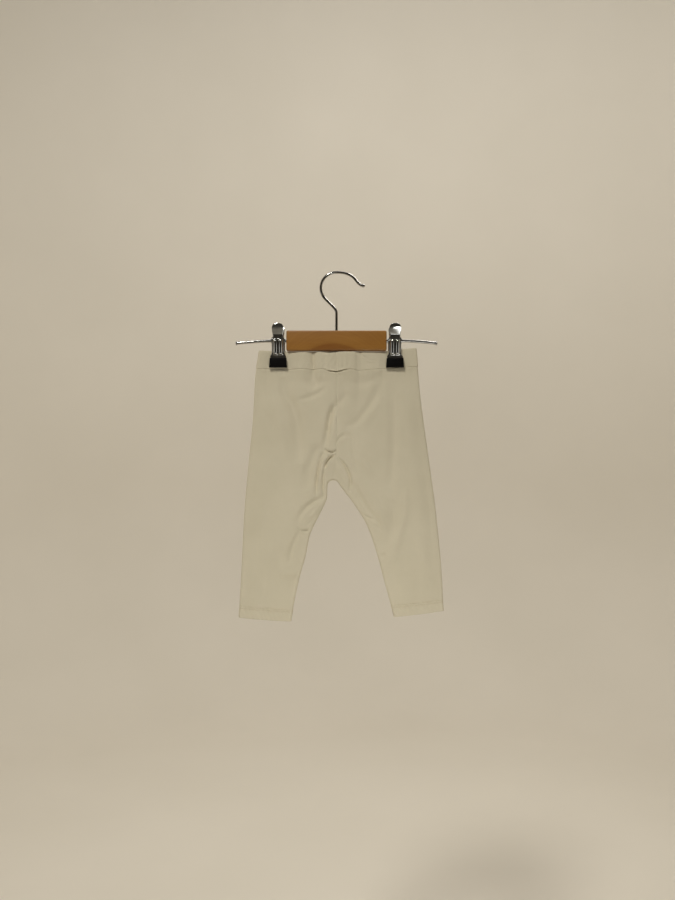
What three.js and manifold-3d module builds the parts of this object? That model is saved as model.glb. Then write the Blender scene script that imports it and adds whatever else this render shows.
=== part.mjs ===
// A baby's leggings in thin jersey, hung flat by the waistband from a wooden clip hanger.
// Millimetres, +Z up, the front faces -Y. The origin is the highest point inside the hook's
// curve, where the hanger hangs, and the hanger's middle lies in the plane X = 0.
// The wearer's right leg is on the -X side.
import * as THREE from "three";
import { mergeVertices } from "three/addons/utils/BufferGeometryUtils.js";
import Module from "manifold-3d";

const wasm = await Module();
wasm.setup();

// Driving dimensions of the leggings
const WAIST_TOP = -101; // height of the waistband's top edge
const WAIST_SEAM = -124; // height of the seam between the waistband and the legs
const CROTCH = -268; // height of the crotch
const CROTCH_X = -4; // the crotch hangs a little towards the right leg
const CLOTH = 1.3; // wall of one layer of jersey
const BAND = 2.2; // wall of the folded waistband with its elastic
const HEM_LAYER = 0.7; // what the turned-up hem adds inside
const SEAM_GAP = 0.3; // between pieces at a seam
const SIDE_FOLD = 2.8; // radius of the fold down each side of a leg, and over the crotch
const LAYER_ROOM = 0.95; // least distance of a wall's middle from the plane Y = 0

// Driving dimensions of the hanger
const BAR = { length: 130, height: 26, depth: 14, z: -87.5, rounding: 2 };
const ROD = { radius: 2, length: 262, droop: 3, bend: 1.6, stop: 3, stopLength: 2 };
const WIRE = 1.75; // radius of the hook's wire
const HOOK = {
  radius: 20.4, stemFoot: -83, bend: 5, ball: 2.4,
  shoulder: { x: 25.5, z: -9 }, dip: { x: 31, z: -16 }, tip: { x: 34.8, z: -15.6 },
};
const ROD_STEPS = 16; // lengths of mesh along the rod
const HOOK_STEPS = 42; // and along the hook's wire
const WIRE_SIDES = 5; // curve steps round a wire's section
const CLIP_X = 75.7; // from the hanger's middle to the middle of each clip
const SHEET = 1; // thickness of the clips' steel
const BORE_ROOM = 0.3; // clearance round the rod and the hook's stem, and in the pads' pockets
const RIB = { x: 3.5, half: 2.7 }; // the two ribs down the middle of a jaw
const EAR = { radius: 4.6, taper: 1, depth: 6.4, frontX: 7, backX: 5.4 };
const SPRING = { radius: 3.9, half: 4.8 };
const PAD = {
  top: -109.8, bottom: -122.4, topHalf: 10.7, bottomHalf: 11.7, face: 2.85, depth: 4.6, bevel: 0.5,
};

// A clip's jaw from its finger tab down to its tongue in the rubber pad: height, distance from
// the plane Y = 0, half width, height of the ribs, depth of the side flanges and doming
const JAW = [
  { z: -65.4, out: 12.6, half: 2.6, rib: 0, flange: 0, dome: 0.5 },
  { z: -67.3, out: 12.5, half: 5.6, rib: 0, flange: 0, dome: 1.2 },
  { z: -70.8, out: 11.6, half: 7.3, rib: 0, flange: 0, dome: 1.6 },
  { z: -75, out: 9.6, half: 7.3, rib: 0, flange: 0, dome: 1.2 },
  { z: -78.6, out: 7.6, half: 6.7, rib: 0, flange: 0.8, dome: 0.3 },
  { z: -82, out: 6.8, half: 6.6, rib: 0, flange: 2, dome: 0 },
  { z: -85.4, out: 7, half: 7.4, rib: 0.2, flange: 3, dome: 0 },
  { z: -87, out: 7, half: 7.8, rib: 1.7, flange: 3.4, dome: 0 },
  { z: -101, out: 6.3, half: 8, rib: 1.7, flange: 2.8, dome: 0 },
  { z: -104, out: 5.8, half: 8.6, rib: 0.3, flange: 1.6, dome: 0 },
  { z: -107.6, out: 5, half: 9.8, rib: 0, flange: 0.2, dome: 0 },
  { z: -109.2, out: 4.9, half: 8.2, rib: 0, flange: 0, dome: 0 },
  { z: -118.6, out: 4.9, half: 8, rib: 0, flange: 0, dome: 0 },
];
const JAW_COLUMNS = [-1, -0.9, -0.78, -0.66, -0.44, -0.22, -0.1]; // shares of the half width
const BACK_FLANGE = 0.3; // the back jaw is nearly flat, so that it fits between the front's ears

// Outline of the legs from the front: the outer edge, then the inner edge below the crotch
const RIGHT_OUTER = [
  { z: -99, x: -99.6 }, { z: -124, x: -103.6 }, { z: -136, x: -105.2 }, { z: -186, x: -107.8 },
  { z: -235, x: -112.6 }, { z: -310, x: -119.2 }, { z: -385, x: -123 }, { z: -447, x: -126.6 },
];
const LEFT_OUTER = [
  { z: -99, x: 103.2 }, { z: -124, x: 105.2 }, { z: -161, x: 108.8 }, { z: -235, x: 118.7 },
  { z: -310, x: 128.8 }, { z: -385, x: 136 }, { z: -438, x: 138.8 },
];
const RIGHT_INNER = [
  { z: -268, x: -4.2 }, { z: -269, x: -8 }, { z: -271, x: -10.8 }, { z: -275, x: -12 },
  { z: -291, x: -12.8 }, { z: -300, x: -16 }, { z: -311, x: -21.5 }, { z: -329, x: -30.5 },
  { z: -340, x: -35 }, { z: -369, x: -41 }, { z: -392, x: -47.7 }, { z: -427, x: -55.3 },
  { z: -452, x: -59.4 },
];
const LEFT_INNER = [
  { z: -268, x: -3.8 }, { z: -268.7, x: -0.6 }, { z: -271, x: 2.2 }, { z: -276, x: 5.6 },
  { z: -284, x: 11.4 }, { z: -293, x: 18.6 }, { z: -305, x: 27 }, { z: -324, x: 38.6 },
  { z: -345, x: 47 }, { z: -370, x: 54.8 }, { z: -396, x: 61.6 }, { z: -419, x: 68 },
  { z: -446, x: 75.2 },
];
const LEGS = {
  right: { sign: -1, outer: RIGHT_OUTER, inner: RIGHT_INNER, hem: -452, rise: 5.2 },
  left: { sign: 1, outer: LEFT_OUTER, inner: LEFT_INNER, hem: -446, rise: 7.8 },
};

// The centre seam from the waist to the crotch
const CENTRE_SEAM = [
  { z: -99, x: 0 }, { z: -200, x: 0.4 }, { z: -235, x: -0.6 }, { z: CROTCH, x: CROTCH_X },
];

// Half the distance between the front and back walls, in the middle of the cloth
const BODY_DEPTH = [
  { z: -124, half: 3.6 }, { z: -170, half: 5.4 }, { z: -230, half: 5.8 }, { z: -268, half: 5.4 },
  { z: -320, half: 6 }, { z: -380, half: 5.8 }, { z: -452, half: 5.4 },
];

// The waistband from above: how far its front and back stand from the plane Y = 0.
// Both clips pinch it flat, and between them the slack elastic bulges and dents.
const WAIST_DEPTH = [
  { x: -105, front: 2.4, back: 2.4 }, { x: -96, front: 2.4, back: 2.2 },
  { x: -89, front: 1.45, back: 1.45 }, { x: -62, front: 1.45, back: 1.45 },
  { x: -54, front: 2.8, back: 2.8 }, { x: -42, front: 4.4, back: 3.4 },
  { x: -31, front: 1.9, back: 4.4 }, { x: -21, front: 5, back: 3.6 },
  { x: -8, front: 6.4, back: 2.6 }, { x: 6, front: 6.2, back: 4.4 },
  { x: 20, front: 5.6, back: 5 }, { x: 30, front: 2.8, back: 3.2 },
  { x: 42, front: 3, back: 3.6 }, { x: 54, front: 2.6, back: 3 },
  { x: 62, front: 1.45, back: 1.45 }, { x: 89, front: 1.45, back: 1.45 },
  { x: 96, front: 2.4, back: 2.2 }, { x: 107, front: 2.4, back: 2.4 },
];

// Heights of the waistband's top edge and of its seam, across the front and across the back
const FRONT_WAIST = [
  { x: -105, top: -99.8, seam: -123.4 }, { x: -84, top: -100.4, seam: -123.8 },
  { x: -66, top: -101.2, seam: -124.4 }, { x: -58, top: -102, seam: -124.4 },
  { x: -42, top: -102.2, seam: -123.6 }, { x: -31, top: -101.8, seam: -125 },
  { x: -19, top: -102.4, seam: -123.8 }, { x: -9, top: -103.4, seam: -126.4 },
  { x: 0, top: -102.6, seam: -127.2 }, { x: 9, top: -102, seam: -125.2 },
  { x: 17, top: -101.6, seam: -123.8 }, { x: 28, top: -102.2, seam: -126 },
  { x: 45, top: -102.2, seam: -124.6 }, { x: 60, top: -101.8, seam: -123.6 },
  { x: 66, top: -100.6, seam: -123 }, { x: 84, top: -98, seam: -122 },
  { x: 105, top: -96.6, seam: -121 },
];
const BACK_WAIST = [
  { x: -105, top: -99.8, seam: -123.4 }, { x: -84, top: -100.2, seam: -123.6 },
  { x: -66, top: -101.2, seam: -124.2 }, { x: -58, top: -102, seam: -124.6 },
  { x: -30, top: -102.6, seam: -125.4 }, { x: 0, top: -101.8, seam: -124.4 },
  { x: 30, top: -102.6, seam: -125.6 }, { x: 60, top: -101.8, seam: -124 },
  { x: 66, top: -100.8, seam: -123.2 }, { x: 84, top: -98.2, seam: -122.2 },
  { x: 105, top: -96.6, seam: -121 },
];

// The largest creases. Each runs through three points, "depth" mm inwards (or outwards where
// it is negative) and "spread" mm to each side. The folds of the front follow the photograph.
const FRONT_FOLDS = [
  { x0: 12, z0: -150, x1: -13, z1: -196, x2: -27, z2: -286, depth: 3, spread: 4.6 },
  { x0: 6, z0: -176, x1: -3, z1: -206, x2: -14, z2: -262, depth: -2.6, spread: 5 },
  { x0: -12, z0: -142, x1: -24, z1: -162, x2: -48, z2: -164, depth: 2, spread: 6 },
  { x0: -70, z0: -126, x1: -58, z1: -170, x2: -50, z2: -238, depth: 2.2, spread: 7 },
  { x0: -88, z0: -168, x1: -87, z1: -200, x2: -84, z2: -246, depth: 1.2, spread: 7 },
  { x0: 3, z0: -203, x1: 34, z1: -198, x2: 56, z2: -138, depth: 2, spread: 6.5 },
  { x0: 6, z0: -243, x1: 19, z1: -256, x2: 17, z2: -284, depth: 2.2, spread: 4.4 },
  { x0: 22, z0: -238, x1: 36, z1: -250, x2: 48, z2: -300, depth: -1.4, spread: 6 },
  { x0: -16, z0: -291, x1: -42, z1: -300, x2: -49, z2: -326, depth: 2.4, spread: 5.4 },
  { x0: -30, z0: -316, x1: -36, z1: -320, x2: -38, z2: -328, depth: -1.6, spread: 5 },
  { x0: -50, z0: -338, x1: -57, z1: -352, x2: -62, z2: -388, depth: 1.8, spread: 6 },
  { x0: 72, z0: -232, x1: 76, z1: -280, x2: 73, z2: -330, depth: 1.4, spread: 7 },
  { x0: 88, z0: -276, x1: 82, z1: -330, x2: 70, z2: -392, depth: -1.4, spread: 7 },
  { x0: 54, z0: -364, x1: 62, z1: -366, x2: 70, z2: -380, depth: 1.4, spread: 5 },
];
const BACK_FOLDS = [
  { x0: 20, z0: -140, x1: 8, z1: -190, x2: 16, z2: -262, depth: 2.6, spread: 5.5 },
  { x0: -10, z0: -196, x1: -18, z1: -226, x2: -16, z2: -270, depth: 2.2, spread: 5 },
  { x0: 66, z0: -128, x1: 56, z1: -176, x2: 60, z2: -236, depth: 2, spread: 7 },
  { x0: -68, z0: -128, x1: -62, z1: -180, x2: -50, z2: -232, depth: 2, spread: 7 },
  { x0: -40, z0: -150, x1: -20, z1: -166, x2: 0, z2: -160, depth: 1.8, spread: 6 },
  { x0: 22, z0: -292, x1: 40, z1: -304, x2: 56, z2: -326, depth: 2, spread: 5.5 },
  { x0: -24, z0: -300, x1: -44, z1: -312, x2: -56, z2: -340, depth: 2, spread: 5.5 },
  { x0: 92, z0: -250, x1: 98, z1: -320, x2: 94, z2: -392, depth: 1.6, spread: 7 },
  { x0: -92, z0: -260, x1: -96, z1: -330, x2: -92, z2: -396, depth: 1.4, spread: 7 },
];
const FOLD_SAMPLES = 16;
const FOLD_TAPER = 0.6; // below 1 a fold keeps its depth for longer before it ends

// Rows of the mesh down a leg: the height that each zone ends at, and how many rows it has
const LEG_ROWS = [
  { to: -150, rows: 3 }, { to: -256, rows: 8 }, { to: CROTCH + SIDE_FOLD, rows: 1 },
];
const LOWER_ROWS = [{ to: -271, rows: 2 }, { to: -284, rows: 3 }, { to: -310, rows: 3 }];
const SHIN_ROWS = 9; // from there to the hem's seam
const CURVE_ROWS = 3; // in the curve just above the crotch
const HEM_ROWS = 2;
const HEM_DEPTH = 15;
const BAND_ROWS = 4;
const PANEL_COLUMNS = 10; // across one face, between the folds at its sides
const FOLD_COLUMNS = 3; // round half of a side fold
const BLEND_BELOW_WAIST = 60; // where the waistband's bulges have died away
const WAVE_BELOW_WAIST = 30; // where the rows have straightened out
const FOLD_START = 8; // folds begin this far above the waistband's seam
const FOLD_FADE = 22; // and take this long to reach their depth, or to die away at the hem
const EDGE_FADE = 12; // they also die away this near an edge
const DOME_EDGE = 24; // how far from an edge the cloth has risen to its full depth
const EDGE_STEPS = 6; // straight pieces that stand for an inner edge between two rows of its table

const clamp01 = (t) => Math.min(1, Math.max(0, t));
const ease = (t) => clamp01(t) ** 2 * (3 - 2 * clamp01(t));
const mix = (a, b, t) => a + (b - a) * t;

// A smooth curve through a table's rows that never swings past them
function smoothTable(rows, from, to) {
  const sorted = [...rows].sort((a, b) => a[from] - b[from]);
  const x = sorted.map((row) => row[from]);
  const y = sorted.map((row) => row[to]);
  const steps = x.slice(1).map((next, i) => (y[i + 1] - y[i]) / (next - x[i]));
  const slopes = x.map((_, i) => {
    const before = steps[Math.max(0, i - 1)];
    const after = steps[Math.min(steps.length - 1, i)];
    return before * after <= 0 ? 0 : (2 * before * after) / (before + after);
  });
  return (at) => {
    if (at <= x[0]) return y[0];
    if (at >= x[x.length - 1]) return y[y.length - 1];
    const i = x.findIndex((next, n) => n > 0 && at <= next) - 1;
    const width = x[i + 1] - x[i];
    const t = (at - x[i]) / width;
    const rise = y[i + 1] - y[i];
    const curve = slopes[i] * width * t * (1 - t) ** 2 - slopes[i + 1] * width * t * t * (1 - t);
    return y[i] + rise * ease(t) + curve;
  };
}

for (const leg of Object.values(LEGS)) {
  leg.outerX = smoothTable(leg.outer, "z", "x");
  leg.innerX = smoothTable(leg.inner, "z", "x");
  leg.innerEdge = straightPieces(leg);
}

// A leg's inner edge as short lines, to measure distances from
function straightPieces({ inner, innerX }) {
  const heights = inner.slice(1).flatMap((row, i) =>
    Array.from({ length: EDGE_STEPS }, (_, k) => mix(inner[i].z, row.z, k / EDGE_STEPS)));
  heights.push(inner[inner.length - 1].z);
  const points = heights.map((z) => new THREE.Vector3(innerX(z), 0, z));
  return points.slice(1).map((point, i) => new THREE.Line3(points[i], point));
}
function distanceToInnerEdge(leg, x, z) {
  const point = new THREE.Vector3(x, 0, z);
  const closest = new THREE.Vector3();
  const distances = leg.innerEdge.map((line) =>
    line.closestPointToPoint(point, true, closest).distanceTo(point));
  return Math.min(...distances);
}

const seamX = smoothTable(CENTRE_SEAM, "z", "x");
const bodyDepth = smoothTable(BODY_DEPTH, "z", "half");
const waistFront = smoothTable(WAIST_DEPTH, "x", "front");
const waistBack = smoothTable(WAIST_DEPTH, "x", "back");
const topLine = {
  front: smoothTable(FRONT_WAIST, "x", "top"), back: smoothTable(BACK_WAIST, "x", "top"),
};
const seamLine = {
  front: smoothTable(FRONT_WAIST, "x", "seam"), back: smoothTable(BACK_WAIST, "x", "seam"),
};

// A fold's own line as points, which fades out towards both ends
function foldPoints(fold) {
  const from = new THREE.Vector2(fold.x0, fold.z0);
  const through = new THREE.Vector2(fold.x1, fold.z1);
  const to = new THREE.Vector2(fold.x2, fold.z2);
  return new THREE.QuadraticBezierCurve(from, through, to).getPoints(FOLD_SAMPLES);
}
const withPoints = (fold) => ({ ...fold, points: foldPoints(fold) });
const CREASES = { front: FRONT_FOLDS.map(withPoints), back: BACK_FOLDS.map(withPoints) };

// How far all folds of one side move the cloth inwards at a point
function foldDepth(side, x, z) {
  let total = 0;
  for (const { points, depth, spread } of CREASES[side]) {
    let strongest = 0;
    points.forEach((point, i) => {
      const fade = Math.sin((Math.PI * (i + 0.5)) / points.length) ** FOLD_TAPER;
      const distance2 = (point.x - x) ** 2 + (point.y - z) ** 2;
      strongest = Math.max(strongest, fade * Math.exp(-distance2 / (spread * spread)));
    });
    total += depth * strongest;
  }
  return total;
}

// Where the columns of one face lie between its inner edge (0) and outer edge (1)
function columnPlaces(width) {
  const fold = SIDE_FOLD / width;
  const rounded = (i) => 1 - Math.cos((Math.PI / 2) * (i / FOLD_COLUMNS));
  const inner = Array.from({ length: FOLD_COLUMNS }, (_, i) => fold * rounded(i));
  const flat = Array.from({ length: PANEL_COLUMNS + 1 }, (_, i) =>
    mix(fold, 1 - fold, i / PANEL_COLUMNS));
  const outer = inner.map((place) => 1 - place).reverse();
  return [...inner, ...flat, ...outer];
}

// One row of a leg: from the front's inner edge, round the outer fold, to the back's inner
// edge. "level" is the row's height at the inner edge, and heightAt(x, side, z) moves each
// point up or down from there.
function legRow(leg, level, heightAt) {
  const { sign, hem, rise } = leg;
  const above = level > CROTCH;
  const start = above ? seamX(level) + (sign * SEAM_GAP) / 2 : leg.innerX(level);
  const slant = rise * clamp01((CROTCH - level) / (CROTCH - hem));
  const end = leg.outerX(level + slant);
  const width = Math.abs(end - start);
  const belowWaist = ease((WAIST_SEAM - level) / BLEND_BELOW_WAIST);
  const belowSeam = ease((WAIST_SEAM + FOLD_START - level) / FOLD_FADE);
  const aboveHem = ease((level - hem) / FOLD_FADE);
  const face = (side) => columnPlaces(width).map((place) => {
    const x = mix(start, end, place);
    const toOuter = (1 - place) * width;
    const toInner = !above && place === 0 ? 0 : distanceToInnerEdge(leg, x, level);
    const outerBend = clamp01(1 - toOuter / SIDE_FOLD) ** 2;
    const innerBend = clamp01(1 - toInner / SIDE_FOLD) ** 2;
    const closing = Math.sqrt((1 - outerBend) * (1 - innerBend));
    const crown = ease(toOuter / DOME_EDGE) * ease(toInner / DOME_EDGE);
    const body = mix(SIDE_FOLD, bodyDepth(level), crown);
    const waist = side === "front" ? waistFront(x) : waistBack(x);
    const half = mix(waist, body, belowWaist);
    const fromEdge = ease(toOuter / EDGE_FADE) * ease(toInner / EDGE_FADE);
    const folded = half - foldDepth(side, x, level) * belowSeam * aboveHem * fromEdge;
    const y = Math.max(folded, LAYER_ROOM) * closing;
    const z = heightAt(x, side, level + slant * place);
    return new THREE.Vector3(x, side === "front" ? -y : y, z);
  });
  const row = [...face("front"), ...face("back").reverse().slice(1)];
  return sign > 0 ? row : row.reverse(); // every row runs anticlockwise seen from above
}

// Rows of a leg, from the waistband's seam down to the hem
function legRows(leg) {
  const levels = [WAIST_SEAM];
  const addZone = ({ to, rows }) => {
    const from = levels[levels.length - 1];
    for (let i = 1; i <= rows; i++) levels.push(mix(from, to, i / rows));
  };
  LEG_ROWS.forEach(addZone);
  for (let i = 1; i <= CURVE_ROWS; i++) {
    const angle = (Math.PI / 2) * (i / CURVE_ROWS);
    levels.push(CROTCH + SIDE_FOLD * (1 - Math.sin(angle)));
  }
  LOWER_ROWS.forEach(addZone);
  addZone({ to: leg.hem + HEM_DEPTH, rows: SHIN_ROWS });
  const hemStart = levels.length - 1;
  levels.push(levels[hemStart] - SEAM_GAP);
  addZone({ to: leg.hem, rows: HEM_ROWS });
  const rows = levels.map((level) => {
    const settled = ease((WAIST_SEAM - level) / WAVE_BELOW_WAIST);
    const heightAt = (x, side, z) => {
      const wave = seamLine[side](x) - WAIST_SEAM;
      return z + wave * (1 - settled) - (level === WAIST_SEAM ? SEAM_GAP : 0);
    };
    return legRow(leg, level, heightAt);
  });
  const inner = levels.map((_, i) => CLOTH / 2 + (i > hemStart ? HEM_LAYER : 0));
  const closed = levels.map((level) => level <= CROTCH);
  return { rows, outer: CLOTH / 2, inner, closed };
}

// Rows of the waistband, joined from both legs' columns into rings, from its top edge down
function bandRows() {
  const rows = Array.from({ length: BAND_ROWS + 1 }, (_, i) => {
    const down = i / BAND_ROWS;
    const heightAt = (x, side) => mix(topLine[side](x), seamLine[side](x), down);
    const level = mix(WAIST_TOP, WAIST_SEAM, down);
    const left = legRow(LEGS.left, level, heightAt);
    const right = legRow(LEGS.right, level, heightAt);
    const middle = (a, b) => a.clone().add(b).multiplyScalar(0.5);
    const front = middle(left[0], right[right.length - 1]);
    const back = middle(left[left.length - 1], right[0]);
    return [front, ...left.slice(1, -1), back, ...right.slice(1, -1), front.clone()];
  });
  return { rows, outer: BAND / 2, inner: rows.map(() => BAND / 2), closed: rows.map(() => true) };
}

// A wall around rows of middle points that run anticlockwise and downwards. A closed row's
// last point is its first one, and an open row's ends get a face of their own.
function wall({ rows, outer, inner, closed }) {
  const last = rows[0].length - 1;
  const at = (i, j) => {
    const row = rows[j];
    if (!closed[j]) return row[Math.min(last, Math.max(0, i))];
    return row[(i + last) % last];
  };
  const normalAt = (i, j) => {
    const atEnd = i === 0 || i === last;
    const across = at(i + 1, j).clone().sub(at(i - 1, j));
    const above = Math.max(0, j - 1);
    const below = Math.min(rows.length - 1, j + 1);
    const top = at(i, above).clone();
    if (closed[j] && !closed[above] && atEnd) top.add(at(last - i, above)).multiplyScalar(0.5);
    const down = at(i, below).clone().sub(top);
    const normal = down.cross(across);
    if (atEnd && closed.includes(false) && j <= closed.indexOf(true)) normal.x = 0;
    return normal.normalize();
  };
  const positions = [];
  const index = new Map();
  const vertex = (layer, i, j) => {
    const column = closed[j] ? i % last : i;
    const key = `${layer} ${column} ${j}`;
    if (!index.has(key)) {
      const offset = layer === "outer" ? outer : -inner[j];
      const point = at(column, j).clone().addScaledVector(normalAt(column, j), offset);
      index.set(key, positions.length / 3);
      positions.push(point.x, point.y, point.z);
    }
    return index.get(key);
  };
  const triangles = [];
  const quad = (a, b, c, d) => triangles.push(a, b, c, a, c, d);
  const outside = (i, j) => vertex("outer", i, j);
  const inside = (i, j) => vertex("inner", i, j);
  const bottom = rows.length - 1;
  for (let i = 0; i < last; i++) {
    for (let j = 0; j < bottom; j++) {
      quad(outside(i, j), outside(i, j + 1), outside(i + 1, j + 1), outside(i + 1, j));
      quad(inside(i, j), inside(i + 1, j), inside(i + 1, j + 1), inside(i, j + 1));
    }
    quad(outside(i, 0), outside(i + 1, 0), inside(i + 1, 0), inside(i, 0));
    quad(inside(i, bottom), inside(i + 1, bottom), outside(i + 1, bottom), outside(i, bottom));
  }
  for (let j = 0; j < bottom && !closed[j]; j++) {
    quad(outside(0, j), inside(0, j), inside(0, j + 1), outside(0, j + 1));
    quad(inside(last, j), outside(last, j), outside(last, j + 1), inside(last, j + 1));
  }
  const geometry = new THREE.BufferGeometry();
  geometry.setAttribute("position", new THREE.Float32BufferAttribute(positions, 3));
  geometry.setIndex(triangles);
  return geometry;
}

// A three.js geometry as a solid that can be joined and cut, and back
function toSolid(geometry, matrix = new THREE.Matrix4()) {
  const bare = new THREE.BufferGeometry();
  bare.setAttribute("position", geometry.getAttribute("position").clone());
  if (geometry.index) bare.setIndex(geometry.index.clone());
  const merged = mergeVertices(bare.applyMatrix4(matrix), 1e-3);
  return new wasm.Manifold(new wasm.Mesh({
    numProp: 3,
    vertProperties: merged.attributes.position.array,
    triVerts: new Uint32Array(merged.index.array),
  }));
}
function toGeometry(solid) {
  const { vertProperties, triVerts } = solid.getMesh();
  const geometry = new THREE.BufferGeometry();
  geometry.setAttribute("position", new THREE.BufferAttribute(vertProperties, 3));
  geometry.setIndex(new THREE.BufferAttribute(triVerts, 1));
  return geometry.toNonIndexed();
}

const AXIS = {
  x: new THREE.Vector3(1, 0, 0), y: new THREE.Vector3(0, 1, 0), z: new THREE.Vector3(0, 0, 1),
};
const moved = (x, y, z) => new THREE.Matrix4().makeTranslation(x, y, z);

// A round rod along one axis, centred on a point
function roundRod(axis, radius, length, centre, sides = 16) {
  const turn = new THREE.Quaternion().setFromUnitVectors(AXIS.y, AXIS[axis]);
  const place = new THREE.Matrix4().compose(centre, turn, new THREE.Vector3(1, 1, 1));
  return toSolid(new THREE.CylinderGeometry(radius, radius, length, sides), place);
}

// A wire of round section along a curve
function wire(curve, radius, steps, sides) {
  const section = new THREE.Shape();
  section.absarc(0, 0, radius, 0, 2 * Math.PI, false);
  return toSolid(new THREE.ExtrudeGeometry(section, {
    steps, curveSegments: sides, bevelEnabled: false, extrudePath: curve,
  }));
}

// The wooden bar: a rounded section with the rod's bore through it and the stem's hole
function makeBar() {
  const { length, height, depth, z, rounding } = BAR;
  const w = depth / 2;
  const h = height / 2;
  const section = new THREE.Shape();
  section.moveTo(-w + rounding, -h);
  section.lineTo(w - rounding, -h);
  section.absarc(w - rounding, -h + rounding, rounding, -Math.PI / 2, 0, false);
  section.lineTo(w, h - rounding);
  section.absarc(w - rounding, h - rounding, rounding, 0, Math.PI / 2, false);
  section.lineTo(-w + rounding, h);
  section.absarc(-w + rounding, h - rounding, rounding, Math.PI / 2, Math.PI, false);
  section.lineTo(-w, -h + rounding);
  section.absarc(-w + rounding, -h + rounding, rounding, Math.PI, 1.5 * Math.PI, false);
  const block = new THREE.ExtrudeGeometry(section, {
    depth: length, bevelEnabled: false, curveSegments: 5,
  });
  const place = new THREE.Matrix4().makeBasis(AXIS.y, AXIS.z, AXIS.x).setPosition(-length / 2, 0, z);
  const top = z + h;
  const foot = HOOK.stemFoot - BORE_ROOM;
  const rodBore = roundRod("x", ROD.radius + BORE_ROOM, 2 * length, new THREE.Vector3(0, 0, z));
  const stemDepth = top - foot;
  const stemCentre = new THREE.Vector3(0, 0, foot + stemDepth);
  return toSolid(block, place)
    .subtract(rodBore)
    .subtract(roundRod("z", WIRE + BORE_ROOM, 2 * stemDepth, stemCentre));
}

// The rod runs straight through the bar and both clips, and its free ends droop a little
function makeRod() {
  const end = ROD.length / 2 - ROD.stopLength / 2;
  const straight = CLIP_X + EAR.frontX + 2 * SHEET;
  const xs = [-end, mix(-end, -straight, 0.5), -straight, 0, straight, mix(straight, end, 0.5), end];
  const droopAt = (x) => ROD.droop * clamp01((Math.abs(x) - straight) / (end - straight)) ** ROD.bend;
  const points = xs.map((x) => new THREE.Vector3(x, 0, BAR.z - droopAt(x)));
  const path = new THREE.CurvePath();
  path.add(new THREE.CatmullRomCurve3(points.slice(0, 3)));
  path.add(new THREE.LineCurve3(points[2], points[4]));
  path.add(new THREE.CatmullRomCurve3(points.slice(4)));
  const stop = (side) => {
    const centre = new THREE.Vector3(side * end, 0, BAR.z - ROD.droop);
    return roundRod("x", ROD.stop, ROD.stopLength, centre);
  };
  return wire(path, ROD.radius, ROD_STEPS, WIRE_SIDES).add(stop(-1)).add(stop(1));
}

// The hook: a straight stem, a slanting stretch, a round left side and a tail to the right
function hookCurve() {
  const { radius, stemFoot, bend, shoulder, dip, tip } = HOOK;
  const point = ({ x, z }) => new THREE.Vector3(x, 0, z);
  const crown = { x: 0, z: WIRE };
  const around = (angle) => ({
    x: radius * Math.cos(angle), z: crown.z - radius + radius * Math.sin(angle),
  });
  const arcStart = 1.25 * Math.PI;
  const arcEnd = Math.PI / 2;
  const arcSteps = 12;
  const slantTop = around(arcStart);
  const kink = { x: 0, z: slantTop.z + slantTop.x };
  const slantFoot = { x: -bend * Math.SQRT1_2, z: kink.z + bend * Math.SQRT1_2 };
  const stemTop = { x: 0, z: kink.z - bend };
  const arc = Array.from({ length: arcSteps + 1 }, (_, i) =>
    point(around(mix(arcStart, arcEnd, i / arcSteps))));
  const path = new THREE.CurvePath();
  path.add(new THREE.LineCurve3(point({ x: 0, z: stemFoot }), point(stemTop)));
  path.add(new THREE.QuadraticBezierCurve3(point(stemTop), point(kink), point(slantFoot)));
  path.add(new THREE.LineCurve3(point(slantFoot), point(slantTop)));
  path.add(new THREE.CatmullRomCurve3(arc));
  const rise = [{ x: 9, z: crown.z }, { x: 19, z: 0.2 }];
  path.add(new THREE.CubicBezierCurve3(
    point(crown), point(rise[0]), point(rise[1]), point(shoulder)));
  path.add(new THREE.QuadraticBezierCurve3(point(shoulder), point(dip), point(tip)));
  return path;
}
function makeHook() {
  const { ball, tip } = HOOK;
  const end = toSolid(new THREE.SphereGeometry(ball, 12, 8), moved(tip.x, 0, tip.z));
  return wire(hookCurve(), WIRE, HOOK_STEPS, WIRE_SIDES).add(end);
}

function jawRows(side) {
  const columns = [...JAW_COLUMNS, ...JAW_COLUMNS.map((c) => -c).reverse()];
  const rows = JAW.map(({ z, out, half, rib, flange, dome }) => columns.map((column) => {
    const x = column * half;
    const ribBend = clamp01(1 - ((Math.abs(x) - RIB.x) / RIB.half) ** 2);
    const edge = Math.abs(column) === 1 ? 1 : 0;
    const inwards = (side < 0 ? flange : BACK_FLANGE) * edge;
    const y = out + rib * Math.sqrt(ribBend) + dome * (1 - column ** 2) - inwards;
    return new THREE.Vector3(x, side * y, z);
  }));
  const ordered = side < 0 ? rows : rows.map((row) => row.reverse());
  const flat = rows.map(() => SHEET / 2);
  return { rows: ordered, outer: SHEET / 2, inner: flat, closed: rows.map(() => false) };
}

// An ear of a jaw plate: it reaches from the plate past the rod, which it turns on
function ear(x, side) {
  const { radius, taper, depth } = EAR;
  const shape = new THREE.Shape();
  shape.moveTo(0, radius);
  shape.lineTo(side * depth, radius - taper);
  shape.lineTo(side * depth, taper - radius);
  shape.lineTo(0, -radius);
  shape.absarc(0, 0, radius, -Math.PI / 2, Math.PI / 2, side > 0);
  const plate = new THREE.ExtrudeGeometry(shape, {
    depth: SHEET, bevelEnabled: false, curveSegments: 10,
  });
  const place = new THREE.Matrix4().makeBasis(AXIS.y, AXIS.z, AXIS.x).setPosition(x, 0, BAR.z);
  return toSolid(plate, place);
}

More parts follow.
